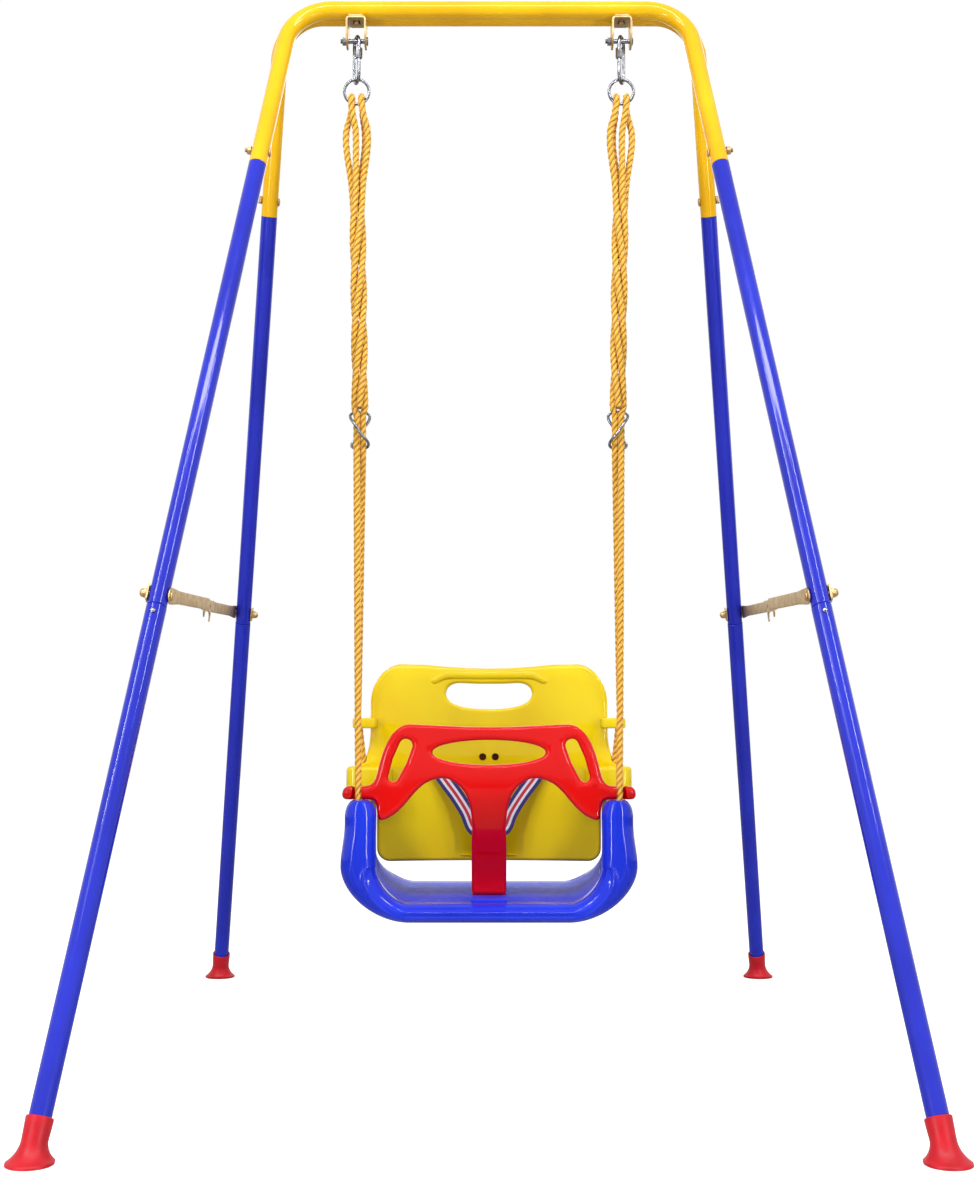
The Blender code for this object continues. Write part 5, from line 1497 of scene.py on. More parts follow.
    def link_place(self) -> Matrix:
        """The quick link's own place: local X across it, turned a little to the front."""
        place = Matrix.Translation((self.x, -self.offset, 0))
        return place @ Matrix.Rotation(radians(90 - self.link_turn), 4, "Z")

    def quick_link(self, side: Side) -> None:
        """The oval wire link with its mouth inside the sleeve.

        Args:
            side: The side it is on.
        """
        reach = self.link_width / 2 - self.link_wire
        high = self.link_top - self.link_width / 2
        low = self.link_bottom + self.link_width / 2
        outline: Outline = [(-reach, self.mouth + 0.0045), (-reach, high - 0.004)]
        outline += arc((0, high), reach, 180, 0, 24)
        outline += [(reach, high + (low - high) * step / 8) for step in range(1, 8)]
        outline += arc((0, low), reach, 0, -180, 24)
        outline += [(-reach, low + 0.004), (-reach, self.mouth - 0.0045)]
        points = [self.link_place() @ Vector((x, 0, z)) for x, z in outline]
        shape = wire(bmesh.new(), points, self.link_wire, 20)
        piece(f"quick_link_{side.value}", "wire", shape, BRIGHT, "swing", side.flip)
        shape = bmesh.new()
        sleeve_place = self.link_place() @ Matrix.Translation((-reach, 0, self.mouth))
        bore = self.link_wire + self.gap
        profile = [(0.0041, 0.0065), (0.0046, 0.0060), (0.0046, -0.0060), (0.0041, -0.0065)]
        turned(shape, profile + [(bore, -0.0065), (bore, 0.0065)], sleeve_place, 48, 6)
        piece(f"link_sleeve_{side.value}", "nut", shape, BRIGHT, f"sleeve_{side.value}", side.flip)

    def ring(self, side: Side) -> None:
        """The welded ring that carries both ropes.

        Args:
            side: The side it is on.
        """
        circle = arc((0, 0), self.ring_radius, 0, 360, 72)[:-1]
        points = [Vector((self.x + x, -self.offset, self.ring_z + z)) for x, z in circle]
        shape = wire(bmesh.new(), points, self.ring_wire, 20, closed=True)
        piece(f"rope_ring_{side.value}", "wire", shape, BRIGHT, "swing", side.flip)

    def build(self) -> None:
        """Builds the hardware on both sides."""
        for side in Side:
            self.bracket(side)
            self.clip(side)
            self.hanger_bolt(side)
            self.pin(side)
            self.quick_link(side)
            self.ring(side)


ARM_TOP = 0.3280
ROPE_ENTRIES = {"front": (0.1620, -0.112), "rear": (0.1660, 0.090)}

# Each rope hangs as two strands: its places where the four fan out to the ring, and its first angles below.
ROPE_FAN = {
    "rear_stand": (-0.0150, -0.0045),
    "rear_tail": (-0.0105, 0.0065),
    "front_tail": (0.0008, -0.0030),
    "front_stand": (0.0145, 0.0030),
}
ROPE_ANGLES = {"front_stand": 15.0, "rear_tail": 105.0, "rear_stand": 195.0, "front_tail": 285.0}


@dataclass
class Ropes:
    """The laid ropes from the seat over the rings, and the wire adjusters.

    Attributes:
        hangers: The hardware that they hang on.
        radius: Half the rope's diameter.
        pitch: Length of one full turn of the rope's strands.
        strands: Number of strands in the lay.
        core: Share of the radius at the bottom of a groove.
        lobe: Share of the radius that a strand stands out from there.
    """

    hangers: Hangers
    radius: float = 0.00425
    gap: float = 0.0008
    pitch: float = 0.0255
    strands: int = 3
    core: float = 0.74
    lobe: float = 0.32
    spread: float = 0.0065
    adjuster_x: float = 0.168
    adjuster_top: float = 0.8305
    adjuster_height: float = 0.052
    adjuster_wire: float = 0.0019
    adjuster_upper: float = 0.0143
    adjuster_lower: float = 0.0133
    adjuster_share: float = 0.58
    adjuster_spread: float = 0.0047
    fan_height: float = 1.185
    bundle_height: float = 1.105
    turns: float = 345.0 / 360.0
    turn: tuple[float, float, float] = (0.1760, 0.0665, 0.4311)

    def __post_init__(self) -> None:
        """Works out the derived distances."""
        self.loop = self.radius + self.hangers.ring_wire + 0.0015
        self.bundle = (2 * self.radius + self.gap) / sqrt(2) + 0.0001
        self.adjuster_bottom = self.adjuster_top - self.adjuster_height
        self.weave = self.radius + self.adjuster_wire + 0.0028
        self.y = -self.hangers.offset
        self.loop_height = self.hangers.ring_z - self.hangers.ring_radius
        self.loops = {
            "rear_stand": (-self.spread, -self.loop),
            "rear_tail": (-self.spread, self.loop),
            "front_tail": (self.spread, -self.loop),
            "front_stand": (self.spread, self.loop),
        }

    def hang_x(self, height: float) -> float:
        """The ropes' line drifts inwards from the ring to the adjuster."""
        share = ease((height - self.adjuster_top) / 0.4)
        return self.adjuster_x + (self.hangers.x - self.adjuster_x) * share

    def strand(self, name: str, height: float) -> Vector:
        """Where one of the four hanging strands is at this height.

        Args:
            name: The strand.
            height: Height over the floor.

        Returns:
            Its middle there.
        """
        turn = (self.bundle_height - height) / (self.bundle_height - self.adjuster_top - 0.01)
        turn = min(max(turn, 0.0), 1.0)
        angle = radians(ROPE_ANGLES[name] + 360 * self.turns * turn)
        bundle = Vector((cos(angle), sin(angle))) * self.bundle
        if height > self.fan_height:
            share = ease((height - self.fan_height) / (self.loop_height - self.fan_height))
            offset = Vector(ROPE_FAN[name]).lerp(Vector(self.loops[name]), share)
        else:
            share = ease((height - self.bundle_height) / (self.fan_height - self.bundle_height))
            offset = bundle.lerp(Vector(ROPE_FAN[name]), share)
        return Vector((self.hang_x(height) + offset.x, self.y + offset.y, height))

    def over_ring(self, name: str) -> list[Vector]:
        """The half turn over the ring's lowest wire.

        Args:
            name: The strand that goes up to the ring.

        Returns:
            The turn's points.
        """
        across, depth = self.loops[name]
        bottom = self.hangers.ring_z - sqrt(self.hangers.ring_radius**2 - across**2)
        x = self.hang_x(bottom) + across
        points = []
        for step in range(1, 6):
            angle = pi * step / 6
            points.append(Vector((x, self.y + cos(angle) * depth, bottom + sin(angle) * self.loop)))
        return points

    def route(self, which: str) -> list[Vector]:
        """A right-hand rope's whole line, from its knot to its end at the adjuster.

        Args:
            which: "front" or "rear".

        Returns:
            The points, as the part's own route gives them.
        """
        entry = Vector((*ROPE_ENTRIES[which], ARM_TOP))
        side = 1 if which == "front" else -1
        knot = entry + Vector((0, 0, -0.014))
        lean = self.adjuster_spread * 0.45
        leave = Vector((self.adjuster_x + side * (self.adjuster_spread - 0.0007), self.y - side * lean, 0))
        leave.z = self.adjuster_bottom - 0.004
        inner = Vector((leave.x, leave.y, self.adjuster_top - 0.008))
        knots = [entry.lerp(leave, share / 18) for share in range(19)]
        if which == "rear":
            turn = Vector(self.turn)
            knots = [entry.lerp(turn, share / 4) for share in range(4)]
            knots += [turn.lerp(leave, share / 14) for share in range(15)]
        points = [knot] + knots
        points += [leave.lerp(inner, 0.5), inner]
        low = self.adjuster_top + 0.002
        top = self.loop_height
        points += [self.strand(f"{which}_stand", low + (top - low) * step / 24) for step in range(25)]
        points += self.over_ring(f"{which}_stand")
        points += [self.strand(f"{which}_tail", top + (low - top) * step / 24) for step in range(25)]
        return points

    def fine_route(self, which: str, spacing: float) -> list[Vector]:
        """The route as evenly spaced points on a smooth curve.

        Args:
            which: "front" or "rear".
            spacing: How far the points are apart.

        Returns:
            The points.
        """
        knots = self.route(which)
        dense: list[Vector] = []
        for quad in quads(knots):
            count = max(2, int((quad[2] - quad[1]).length / (spacing * 0.5)))
            dense += [on_curve(quad, step / count) for step in range(count)]
        dense.append(knots[-1])
        result = [dense[0]]
        travelled = 0.0
        for start, end in zip(dense, dense[1:]):
            step = (end - start).length
            while travelled + step >= spacing:
                share = (spacing - travelled) / step
                start = start.lerp(end, share)
                result.append(start)
                step = (end - start).length
                travelled = 0.0
            travelled += step
        result.append(dense[-1])
        return result

    def rope(self, which: str, side: Side) -> None:
        """One laid rope with its stopper knot.

        Args:
            which: "front" or "rear".
            side: The side it is on.
        """
        line = [side.flip @ point for point in self.fine_route(which, 0.0016)]
        pairs = frames(line)
        around = 24
        shape = bmesh.new()
        depth = shape.verts.layers.float.new("groove")
        lay = shape.loops.layers.uv.new("lay")
        rings: Rings = []
        grooves = []
        travelled = 0.0
        for index, (point, (first, second)) in enumerate(zip(line, pairs)):
            if index:
                travelled += (point - line[index - 1]).length
            ring, groove = [], []
            twist = tau * travelled / self.pitch
            for step in range(around):
                angle = tau * step / around
                lobe = abs(cos(self.strands * (angle - twist) / 2)) ** 0.75
                reach = self.radius * (self.core + self.lobe * lobe)
                ring.append(point + (first * cos(angle) + second * sin(angle)) * reach)
                groove.append(lobe)
            rings.append(ring)
            grooves.append((groove, travelled))
        made = skin(shape, rings)
        # Each point keeps how far out it stands on its strand, which the rope's material turns into painted
        # shade in the grooves and a painted highlight on the crests.
        for ring, (groove, _) in zip(made, grooves):
            for vertex, value in zip(ring, groove):
                vertex[depth] = value**1.3 * 0.75
        shape.verts.index_update()
        for face in shape.faces:
            for loop in face.loops:
                ring_index, step = divmod(loop.vert.index, around)
                distance = grooves[ring_index][1]
                across = step / around * self.strands - distance / self.pitch * self.strands
                loop[lay].uv = (across * 0.5, distance * 12)
        node = f"{which}_rope_{side.value}"
        obj = mesh(f"{node}_laid", shape, sharp=60)
        ball = mesh(f"{node}_knot", self.knot_shape(line[0]), sharp=60)
        ball.data.uv_layers.new(name="lay")
        dress(ball, ROPE, "swing", [])
        dress(obj, ROPE, "swing", [node])

    def knot_shape(self, centre: Vector) -> Shape:
        """A stopper knot: the rope wound tightly on itself in two turns.

        Args:
            centre: The knot's middle.

        Returns:
            Its shape.
        """
        points = []
        for step in range(49):
            turn = tau * 2 * step / 48
            reach = 0.0042 + 0.0006 * cos(turn * 1.5)
            height = 0.0044 * sin(turn * 1.5)
            points.append(centre + Vector((cos(turn) * reach, sin(turn) * reach, height)))
        return wire(bmesh.new(), points, 0.0036, 12)

    def adjuster(self, side: Side) -> None:
        """The bright wire figure-eight that the standing ropes run through.

        Args:
            side: The side it is on.
        """
        count = 128
        waist = self.adjuster_top - self.adjuster_height * self.adjuster_share
        points = []
        for step in range(count):
            angle = tau * step / count
            swing = sin(2 * angle)
            rise = cos(angle)
            half = self.adjuster_upper if rise > 0 else self.adjuster_lower
            reach = (self.adjuster_top - waist) if rise > 0 else (waist - self.adjuster_bottom)
            x = swing * (half - self.adjuster_wire)
            z = waist + copysign(abs(rise) ** 0.8, rise) * (reach - self.adjuster_wire)
            middle = sin(angle) ** 2
            lap = (self.adjuster_wire + 0.0003) * middle * max(0.0, 2 * sin(angle))
            forward = 2 * middle if sin(angle) > 0 else 0.0
            points.append(Vector((self.adjuster_x + x, self.y + self.weave * (1 - forward) - lap, z)))
        shape = wire(bmesh.new(), points, self.adjuster_wire, 20, closed=True)
        piece(f"rope_adjuster_{side.value}", "wire", shape, BRIGHT, "swing", side.flip)

    def build(self) -> None:
        """Builds all four ropes and both adjusters."""
        for side in Side:
            for which in ("front", "rear"):
                self.rope(which, side)
            self.adjuster(side)


@dataclass
class SeatBase:
    """The hollow blue base: two domed arms and a pan with a rolled front lip."""

    front: float = -0.136
    rear: float = 0.112
    arm_top: float = ARM_TOP
    arm_outer: float = 0.1785
    outer: float = 0.1840
    bottom: float = 0.1761
    bulge_height: float = 0.245
    bulge_start: float = 0.300
    corner_width: float = 0.0835
    corner_power: float = 1.8
    front_thickness: float = 0.0405
    rear_thickness: float = 0.0235
    pan_thickness: float = 0.0275
    wall: float = 0.0030
    dome: float = 0.018
    nose: float = 0.019
    hole: float = 0.0065
    slot_half: float = 0.0221
    arm_share: float = 0.35
    corner_share: float = 0.85
    lines: tuple[float, float, float] = (0.87, 0.54, 0.26)
    line_height: float = 0.0026
    line_width: float = 0.062
    crease_height: float = 0.0022
    crease_width: float = 0.060
    rim_height: float = 0.0024
    rim_width: float = 0.0045
    lip_fall: float = 0.0036

    def outer_line(self, share: float) -> Vector:
        """The base's outer line in front view, from the arm's top at 0 to the middle at 1.

        Args:
            share: The place along the line.

        Returns:
            The point, across and up.
        """
        if share < self.arm_share:
            height = self.arm_top + (self.bulge_height - self.arm_top) * share / self.arm_share
            swell = ease((self.bulge_start - height) / (self.bulge_start - self.bulge_height))
            return Vector((self.arm_outer + (self.outer - self.arm_outer) * swell, height))
        if share < self.corner_share:
            angle = pi / 2 * (share - self.arm_share) / (self.corner_share - self.arm_share)
            across = cos(angle) ** (2 / self.corner_power)
            down = sin(angle) ** (2 / self.corner_power)
            drop = (self.bulge_height - self.bottom) * down
            return Vector((self.outer - self.corner_width * (1 - across), self.bulge_height - drop))
        return Vector(((self.outer - self.corner_width) * (1 - share) / 0.15, self.bottom))

    def thickness(self, y: float, share: float) -> float:
        """The arms are thicker at the front, and thin down to the pan.

        Args:
            y: The place, front to rear.
            share: The place along the outer line.

        Returns:
            The thickness there.
        """
        back = (y - self.front) / (self.rear - self.front)
        arm = self.front_thickness + (self.rear_thickness - self.front_thickness) * back
        if share < self.arm_share:
            return arm + self.outer_line(share).x - self.arm_outer
        arm += self.outer - self.arm_outer
        return arm + (self.pan_thickness - arm) * ease((share - 0.36) / 0.49)

    def section(self, wall: float, detail: int) -> list[tuple[float, float, float]]:
        """The base's section as (y, depth share, depth extra), outer side first.

        Args:
            wall: How far inside the outer form it lies.
            detail: Points in each rounded corner.

        Returns:
            The section's points in order.
        """
        front = self.front + wall
        rear = self.rear - wall
        points: list[tuple[float, float, float]] = []
        for step in range(detail):
            y = rear - 0.006 + (front + self.nose - rear + 0.006) * step / detail
            points.append((y, 0, wall))
        for step in range(detail + 1):
            turn = pi / 2 * step / detail
            reach = self.nose * (1 - sin(turn))
            points.append((front + reach, 0, wall + self.nose * (1 - cos(turn))))
        for step in range(detail + 1):
            turn = pi / 2 * step / detail
            reach = self.nose * (1 - cos(turn))
            points.append((front + reach, 1, -wall - self.nose * (1 - sin(turn))))
        for step in range(1, detail):
            y = front + self.nose + (rear - 0.008 - front - self.nose) * step / detail
            points.append((y, 1, -wall))
        points += [(rear - 0.008, 1, -wall), (rear - 0.0035, 1, -wall - 0.0018), (rear, 1, -wall - 0.007)]
        points += [(rear, 0, wall + 0.006), (rear - 0.0020, 0, wall + 0.0020)]
        return points

    def crease(self, y: float, share: float, depth: float) -> float:
        """How far the front face swells: pressed lines along the lip and a crease under each arm.

        Args:
            y: The point's place, front to rear.
            share: The point's place along the outer line.
            depth: Its share of the thickness, 0 at the outer skin and 1 at the inner.

        Returns:
            The swell towards the front.
        """
        if y > self.front + self.nose:
            return 0.0
        fade = 1 - (y - self.front) / self.nose * 0.6
        along = ease((share - 0.79) / 0.06)
        swell = 0.0
        for middle in self.lines:
            swell += self.line_height * along * exp(-(((depth - middle) / self.line_width) ** 2))
        run = (share - 0.36) / 0.48
        middle = 0.76 - 0.62 * min(max(run, 0.0), 1.0)
        along = ease((share - 0.32) / 0.06) * ease((0.87 - share) / 0.05)
        fold = self.crease_height * along * exp(-(((depth - middle) / self.crease_width) ** 2))
        return (swell + fold) * fade

    def lip(self, y: float, share: float, part: float) -> float:
        """How the pan's upper face is bent.

        Args:
            y: The point's place, front to rear.
            share: The point's place along the outer line.
            part: 0 on the outer skin and 1 on the inner.

        Returns:
            How much it stands up at its rear rim, less what it falls away to its front lip.
        """
        if part < 0.5:
            return 0.0
        ridge = exp(-(((self.rear - 0.0085 - y) / self.rim_width) ** 2))
        rim = self.rim_height * ease((share - 0.50) / 0.2) * ridge
        return rim - self.lip_fall * ease((share - 0.55) / 0.3) * ease((-0.062 - y) / 0.055)

    def skin_point(
        self, point: tuple[float, float, float], share: float, wall: float
    ) -> tuple[float, float]:
        """Where one point of the section lies at this share of the outer line.

        Args:
            point: The section's point.
            share: The place along the outer line.
            wall: How far inside the skin the form lies; only the skin itself has creases.

        Returns:
            The depth below the outer line and the swell towards the front.
        """
        y, part, extra = point
        thick = self.thickness(y, share)
        extra *= min(1.0, 0.48 * thick / self.nose)
        depth = part * thick + extra + self.lip(y, share, part)
        return depth, self.crease(y, share, depth / thick) * (wall < 0.001)

    def form(self, name: str, wall: float, detail: int, spans: int) -> Piece:
        """The base's closed form.

        Args:
            name: The object's name.
            wall: How far inside the skin it lies.
            detail: Points in each rounded corner of the section.
            spans: Rings in the arm's domed top.

        Returns:
            The form as a mesh object.
        """
        dome = self.dome - wall * 0.4
        section = self.section(wall, detail)
        rings: Rings = []
        for step in range(spans + 1):
            turn = pi / 2 * (0.12 + 0.80 * step / spans)
            height = self.arm_top - wall - dome * (1 - sin(pi / 2 * (1 - step / spans)))
            narrow = 0.30 + 0.70 * sin(turn) if step < spans else 1.0
            ring = []
            for y, part, extra in section:
                thick = self.thickness(y, 0)
                depth = thick / 2 + (part * thick + extra - thick / 2) * narrow
                ring.append(Vector((self.arm_outer - depth, y, height)))
            rings.append(ring)
        shares = [self.arm_share * step / 14 for step in range(14)]
        shares += [self.arm_share + 0.50 * step / 26 for step in range(26)]
        shares += [self.corner_share + 0.15 * step / 8 for step in range(8)]
        for share in shares:
            here = self.outer_line(share)
            if here.y > self.arm_top - wall - dome - 0.0008:
                continue
            ahead = self.outer_line(share + 0.01) - self.outer_line(max(share - 0.01, 0.0))
            normal = Vector((-abs(ahead.y), abs(ahead.x))).normalized()
            ring = []
            for point in section:
                depth, swell = self.skin_point(point, share, wall)
                ring.append(Vector((here.x + normal.x * depth, point[0] - swell, here.y + normal.y * depth)))
            rings.append(ring)
        middle = []
        for point in section:
            depth, swell = self.skin_point(point, 1, wall)
            middle.append(Vector((0, point[0] - swell, self.bottom + depth)))
        whole = rings + [middle] + [[MIRROR @ point for point in ring] for ring in reversed(rings)]
        shape = bmesh.new()
        skin(shape, whole)
        return mesh(name, shape, Matrix(), 40)

    def build(self) -> None:
        """Builds the base with its rope holes and the guard's slot."""
        obj = self.form("seat_base_shell", 0.0, 22, 10)
        cut(obj, self.form("hollow", self.wall, 5, 4))
        mouth, deep = self.hole + 0.0010, 0.012
        profile = [(0, deep), (mouth, deep), (mouth, -0.0001)]
        profile += [(self.hole, -0.0012), (self.hole, -deep), (0, -deep)]
        for side in Side:
            for x, y in ROPE_ENTRIES.values():
                place = Matrix.Translation((side.sign * x, y, self.arm_top))
                shape = turned(bmesh.new(), profile, place, 28)
                cut(obj, mesh("hole", shape))
        shape = bmesh.new()
        bmesh.ops.create_cube(shape, size=1)
        bmesh.ops.scale(shape, verts=shape.verts, vec=(2 * self.slot_half, 0.0076, 0.020))
        bmesh.ops.translate(shape, verts=shape.verts, vec=(0, -0.0488, self.bottom + self.pan_thickness))
        cut(obj, mesh("slot", shape))
        ridge = slab("ridge", [rounded(0.0228, 0.0014, 0.0012)], 0.0030, 0.0009)
        ridge.data.transform(Matrix.Translation((0, -0.1005, self.bottom + self.pan_thickness - 0.0020)))
        joined(obj, ridge)
        smooth(obj, 40)
        dress(obj, BLUE_PLASTIC, "swing", ["seat_base"])
        obj.data.materials.append(BLUE_GRAIN.material())
        for face in obj.data.polygons:
            middle = face.center
            inwards = face.normal.x * copysign(1.0, middle.x) < -0.5
            if (face.normal.z > 0.3 or inwards) and middle.z < 0.30 and -0.108 < middle.y < 0.098:
                face.material_index = 1


def bowed(centre_y: float, side_y: float, half_span: float, x: float) -> float:
    """How far back a bowed plate's middle surface lies.

    Args:
        centre_y: Its place at the middle.
        side_y: Its place at the sides.
        half_span: From the middle to a side.
        x: Where it is asked for.

    Returns:
        Its place, front to rear.
    """
    rise = abs(side_y - centre_y)
    radius = (half_span**2 + rise**2) / (2 * rise)
    sagitta = radius - sqrt(max(radius**2 - x**2, 0.0))
    return centre_y + copysign(sagitta, side_y - centre_y)


def stood_up(
    obj: Piece,
    plate: Callable[[float, float], float],
    relief: Callable[[float, float], float] | None = None,
    thickness: float = 1.0,
) -> None:
    """Turns a flat plate upright and bends it: local X stays, local Y becomes height.

    Args:
        obj: The plate.
        plate: The middle surface's depth at x and height.
        relief: How far the front face stands out there.
        thickness: The plate's thickness, for the relief.
    """
    for vertex in obj.data.vertices:
        x, height, depth = vertex.co
        if relief and depth > 0:
            depth += relief(x, height) * min(1.0, depth / (thickness * 0.4)) ** 2
        vertex.co = (x, plate(x, height) - depth, height)
    obj.data.update()


@dataclass
class Backrest:
    """The yellow backrest with its hand hole, belt slots, wings and rope lugs."""

    ropes: Ropes
    top: float = 0.5023
    dip: float = 0.0060
    bottom: float = 0.2343
    half: float = 0.1605
    lower_half: float = 0.1518
    shoulder_x: float = 0.044
    shoulder_z: float = 0.056
    corner: float = 0.018
    centre_y: float = 0.103
    side_y: float = 0.083
    thickness: float = 0.012
    wing_top: float = 0.3645
    lug_height: float = 0.4221
    roll_width: float = 0.022
    roll_depth: float = 0.0042
    swell_z: float = 0.4876
    slot: tuple[float, float] = (0.075, 0.3695)
    recess: tuple[float, float] = (0.0086, 0.3758)
    recess_radius: float = 0.0050

    def outline(self) -> Outline:
        """The backrest's rim in front view.

        Returns:
            The rim's points.
        """
        half: Outline = [(0.0, self.top - self.dip), (0.030, self.top - self.dip * 0.88)]
        half += [(0.060, self.top - self.dip * 0.55), (0.090, self.top - self.dip * 0.12)]
        centre = (self.half - self.shoulder_x, self.top - self.shoulder_z)
        for x, y in arc((0, 0), 1, 84, 0, 14):
            half.append((centre[0] + x * self.shoulder_x, centre[1] + y * self.shoulder_z))
        half += [(self.half, 0.41), (0.1612, 0.400), (0.1626, 0.390), (0.1652, 0.380), (0.1690, 0.3720)]
        half += [(0.1735, 0.3670), (0.1790, 0.3640), (0.1800, 0.3600), (0.1790, 0.3560)]
        half += [(0.1700, 0.3500), (0.1600, 0.3440), (self.lower_half, 0.334)]
        half += [(self.lower_half, 0.30), (self.lower_half, 0.27)]
        half += arc((self.lower_half - self.corner, self.bottom + self.corner), self.corner, 0, -90, 9)
        half += [(0.06, self.bottom), (0.0, self.bottom)]
        return mirrored(half)

    def hand_hole(self) -> Outline:
        """The hand hole: nearly flat on top, rounded ends and a bowed lower edge.

        Returns:
            The hole's points.
        """
        half: Outline = [(0.0, 0.4757), (0.020, 0.4758), (0.036, 0.4765), (0.0450, 0.4762)]
        half += [(0.0520, 0.4735), (0.0566, 0.4690), (0.0585, 0.4630), (0.0575, 0.4572)]
        half += [(0.0535, 0.4518), (0.0460, 0.4472), (0.0340, 0.4437), (0.0180, 0.4417), (0.0, 0.4411)]
        return smoothed(mirrored(half), 2)

    def relief(self, x: float, height: float) -> float:
        """How far the front face stands out: it rolls off towards the rim.

        Args:
            x: Distance from the middle.
            height: Height over the floor.

        Returns:
            How far it stands out, below zero where it falls away.
        """
        x = abs(x)
        rim = self.top - self.dip * (1 - min(x / 0.1, 1.0))
        inset = min(self.half - x, rim - height, height - self.bottom)
        low = (self.half - self.shoulder_x, self.top - self.shoulder_z)
        if x > low[0] and height > low[1]:
            reach = hypot((x - low[0]) / self.shoulder_x, (height - low[1]) / self.shoulder_z)
            inset = (1 - reach) * self.shoulder_x
        roll = max(0.0, 1 - max(inset, 0.0) / self.roll_width)
        return -self.roll_depth * roll**2 * ease((height - self.wing_top) / 0.02)

    def depth_at(self, x: float, height: float) -> float:
        """The plate's middle surface, bowed alike at every height."""
        return bowed(self.centre_y, self.side_y, self.half, x)

    def belt_slot(self, obj: Piece, side: Side) -> None:
        """Cuts the slot that a strap comes through.

        Args:
            obj: The object that is changed.
            side: The side it is on.
        """
        cutter = slab("slot", [rounded(0.0130, 0.0026, 0.0020)], 0.04, 0.0001)
        place = Matrix.Translation((side.sign * self.slot[0], self.centre_y, self.slot[1]))
        cutter.data.transform(place @ UPRIGHT)
        cut(obj, cutter)

    def blind_hole(self, obj: Piece, side: Side) -> None:
        """Cuts a small blind hole and lines it with a dark brown cup, painted shade that stands in for the
        shadow inside the hole.

        Args:
            obj: The object that is changed.
            side: The side it is on.
        """
        front = self.centre_y - self.thickness / 2
        place = Matrix.Translation((side.sign * self.recess[0], front, self.recess[1]))
        place = place @ Matrix.Rotation(-pi / 2, 4, "X")
        shape = bmesh.new()
        reach, deep = self.recess_radius, 0.0080
        turned(shape, [(0, deep), (reach, deep), (reach, -0.02), (0, -0.02)], place, 28)
        cut(obj, mesh("recess", shape))
        # A dark brown cup inside the hole: painted shade in place of the hole's own shadow.
        shade_lining = bmesh.new()
        profile = [(0, deep - 0.0004), (reach - 0.0006, deep - 0.0004), (reach - 0.0004, 0.0010)]
        profile += [(reach + 0.0002, 0.0010), (reach + 0.0002, deep + 0.0002), (0, deep + 0.0002)]
        turned(shade_lining, profile, place, 28)
        dress(mesh(f"backrest_recess_shade_{side.value}", shade_lining), RECESS_SHADE, "swing", [])

    def swell(self, obj: Piece) -> None:
        """Adds the low swell over the hand hole, a bar sunk in the face with its ends turned down.

        Args:
            obj: The object that is changed.
        """
        rings: Rings = []
        for step in range(65):
            x = -0.0820 + 0.1640 * step / 64
            out = ease((0.0835 - abs(x)) / 0.0110)
            height = self.swell_z - 0.0088 * ease((abs(x) - 0.054) / 0.028)
            middle = Vector((x, self.depth_at(x, height) - self.thickness / 2 + 0.0008, height))
            ring = []
            for turn in range(32):
                angle = tau * turn / 32
                ring.append(middle + Vector((0, cos(angle) * 0.0034, sin(angle) * 0.0058)) * out)
            rings.append(ring)
        shape = bmesh.new()
        skin(shape, rings)
        bmesh.ops.recalc_face_normals(shape, faces=shape.faces)
        joined(obj, mesh("swell", shape))

    def bead(self, obj: Piece, side: Side) -> None:
        """Adds a short raised bead low on the front face.

        Args:
            obj: The object that is changed.
            side: The side it is on.
        """
        bar = slab("bead", [rounded(0.0070, 0.0010, 0.0009)], 0.0040, 0.0008)
        x, height = 0.0316, 0.2422
        front = self.depth_at(x, height) - self.thickness / 2
        place = Matrix.Translation((side.sign * x, front + 0.0006, height))
        bar.data.transform(place @ UPRIGHT)
        joined(obj, bar)

    def wing(self, side: Side) -> Piece:
        """A wing that rests on the arm: a rounded block that swells at its outer end.

        Args:
            side: The side it is on.

        Returns:
            The wing, to be joined on.
        """
        outline = rounded(0.03075, 0.028, 0.012)
        low = ARM_TOP + 0.0003
        obj = slab("wing", [outline], self.wing_top - low, 0.0065)
        return placed(obj, Matrix.Translation((side.sign * 0.16075, 0.076, (self.wing_top + low) / 2)))

    def lug(self, side: Side) -> Piece:
        """The bar that holds the rear rope out from the backrest's side.

        Args:
            side: The side it is on.

        Returns:
            The bar, to be joined on.
        """
        line = self.rope_at(self.lug_height)
        inner = self.half - 0.010
        outer = line.x + 0.0085
        front = line.y - 0.0085
        rear = self.side_y + self.thickness / 3
        outline = rounded((outer - inner) / 2, (rear - front) / 2, 0.0066)
        obj = slab("lug", [outline], 0.014, 0.0028)
        place = (side.sign * (inner + outer) / 2, (front + rear) / 2, self.lug_height)
        return placed(obj, Matrix.Translation(place))

    def rope_at(self, height: float) -> Vector:
        """The right rear rope's centre at this height, between the arm and its turn above the lug.

        Args:
            height: Height over the floor.

        Returns:
            The rope's middle there.
        """
        low = Vector((*ROPE_ENTRIES["rear"], ARM_TOP))
        high = Vector(self.ropes.turn)
        return low.lerp(high, (height - low.z) / (high.z - low.z))

    def build(self) -> None:
        """Builds the backrest as one moulding."""
        obj = slab("backrest_shell", [self.outline(), self.hand_hole()], self.thickness, 0.0045)
        gridded(obj, Vector((-0.165, 0.23, 0)), Vector((0.165, 0.505, 0)), 0.005)
        stood_up(obj, self.depth_at, self.relief, self.thickness)
        for side in Side:
            self.belt_slot(obj, side)
            self.blind_hole(obj, side)
        for side in Side:
            cut(obj, self.wing(side), "UNION")
            cut(obj, self.lug(side), "UNION")
        for side in Side:
            start = self.rope_at(ARM_TOP - 0.005)
            end = self.rope_at(self.lug_height + 0.04)
            matrix = frame_matrix(start, end - start, ACROSS)
            shape = bmesh.new()
            length = (end - start).length
            bore = self.ropes.radius + 0.0010
            turned(shape, [(0, length), (bore, length), (bore, 0), (0, 0)], matrix, 28)
            cut(obj, mesh("bore", shape, side.flip))
            self.bead(obj, side)
        self.swell(obj)
        smooth(obj, 32)
        dress(obj, YELLOW_PLASTIC, "swing", ["backrest"])


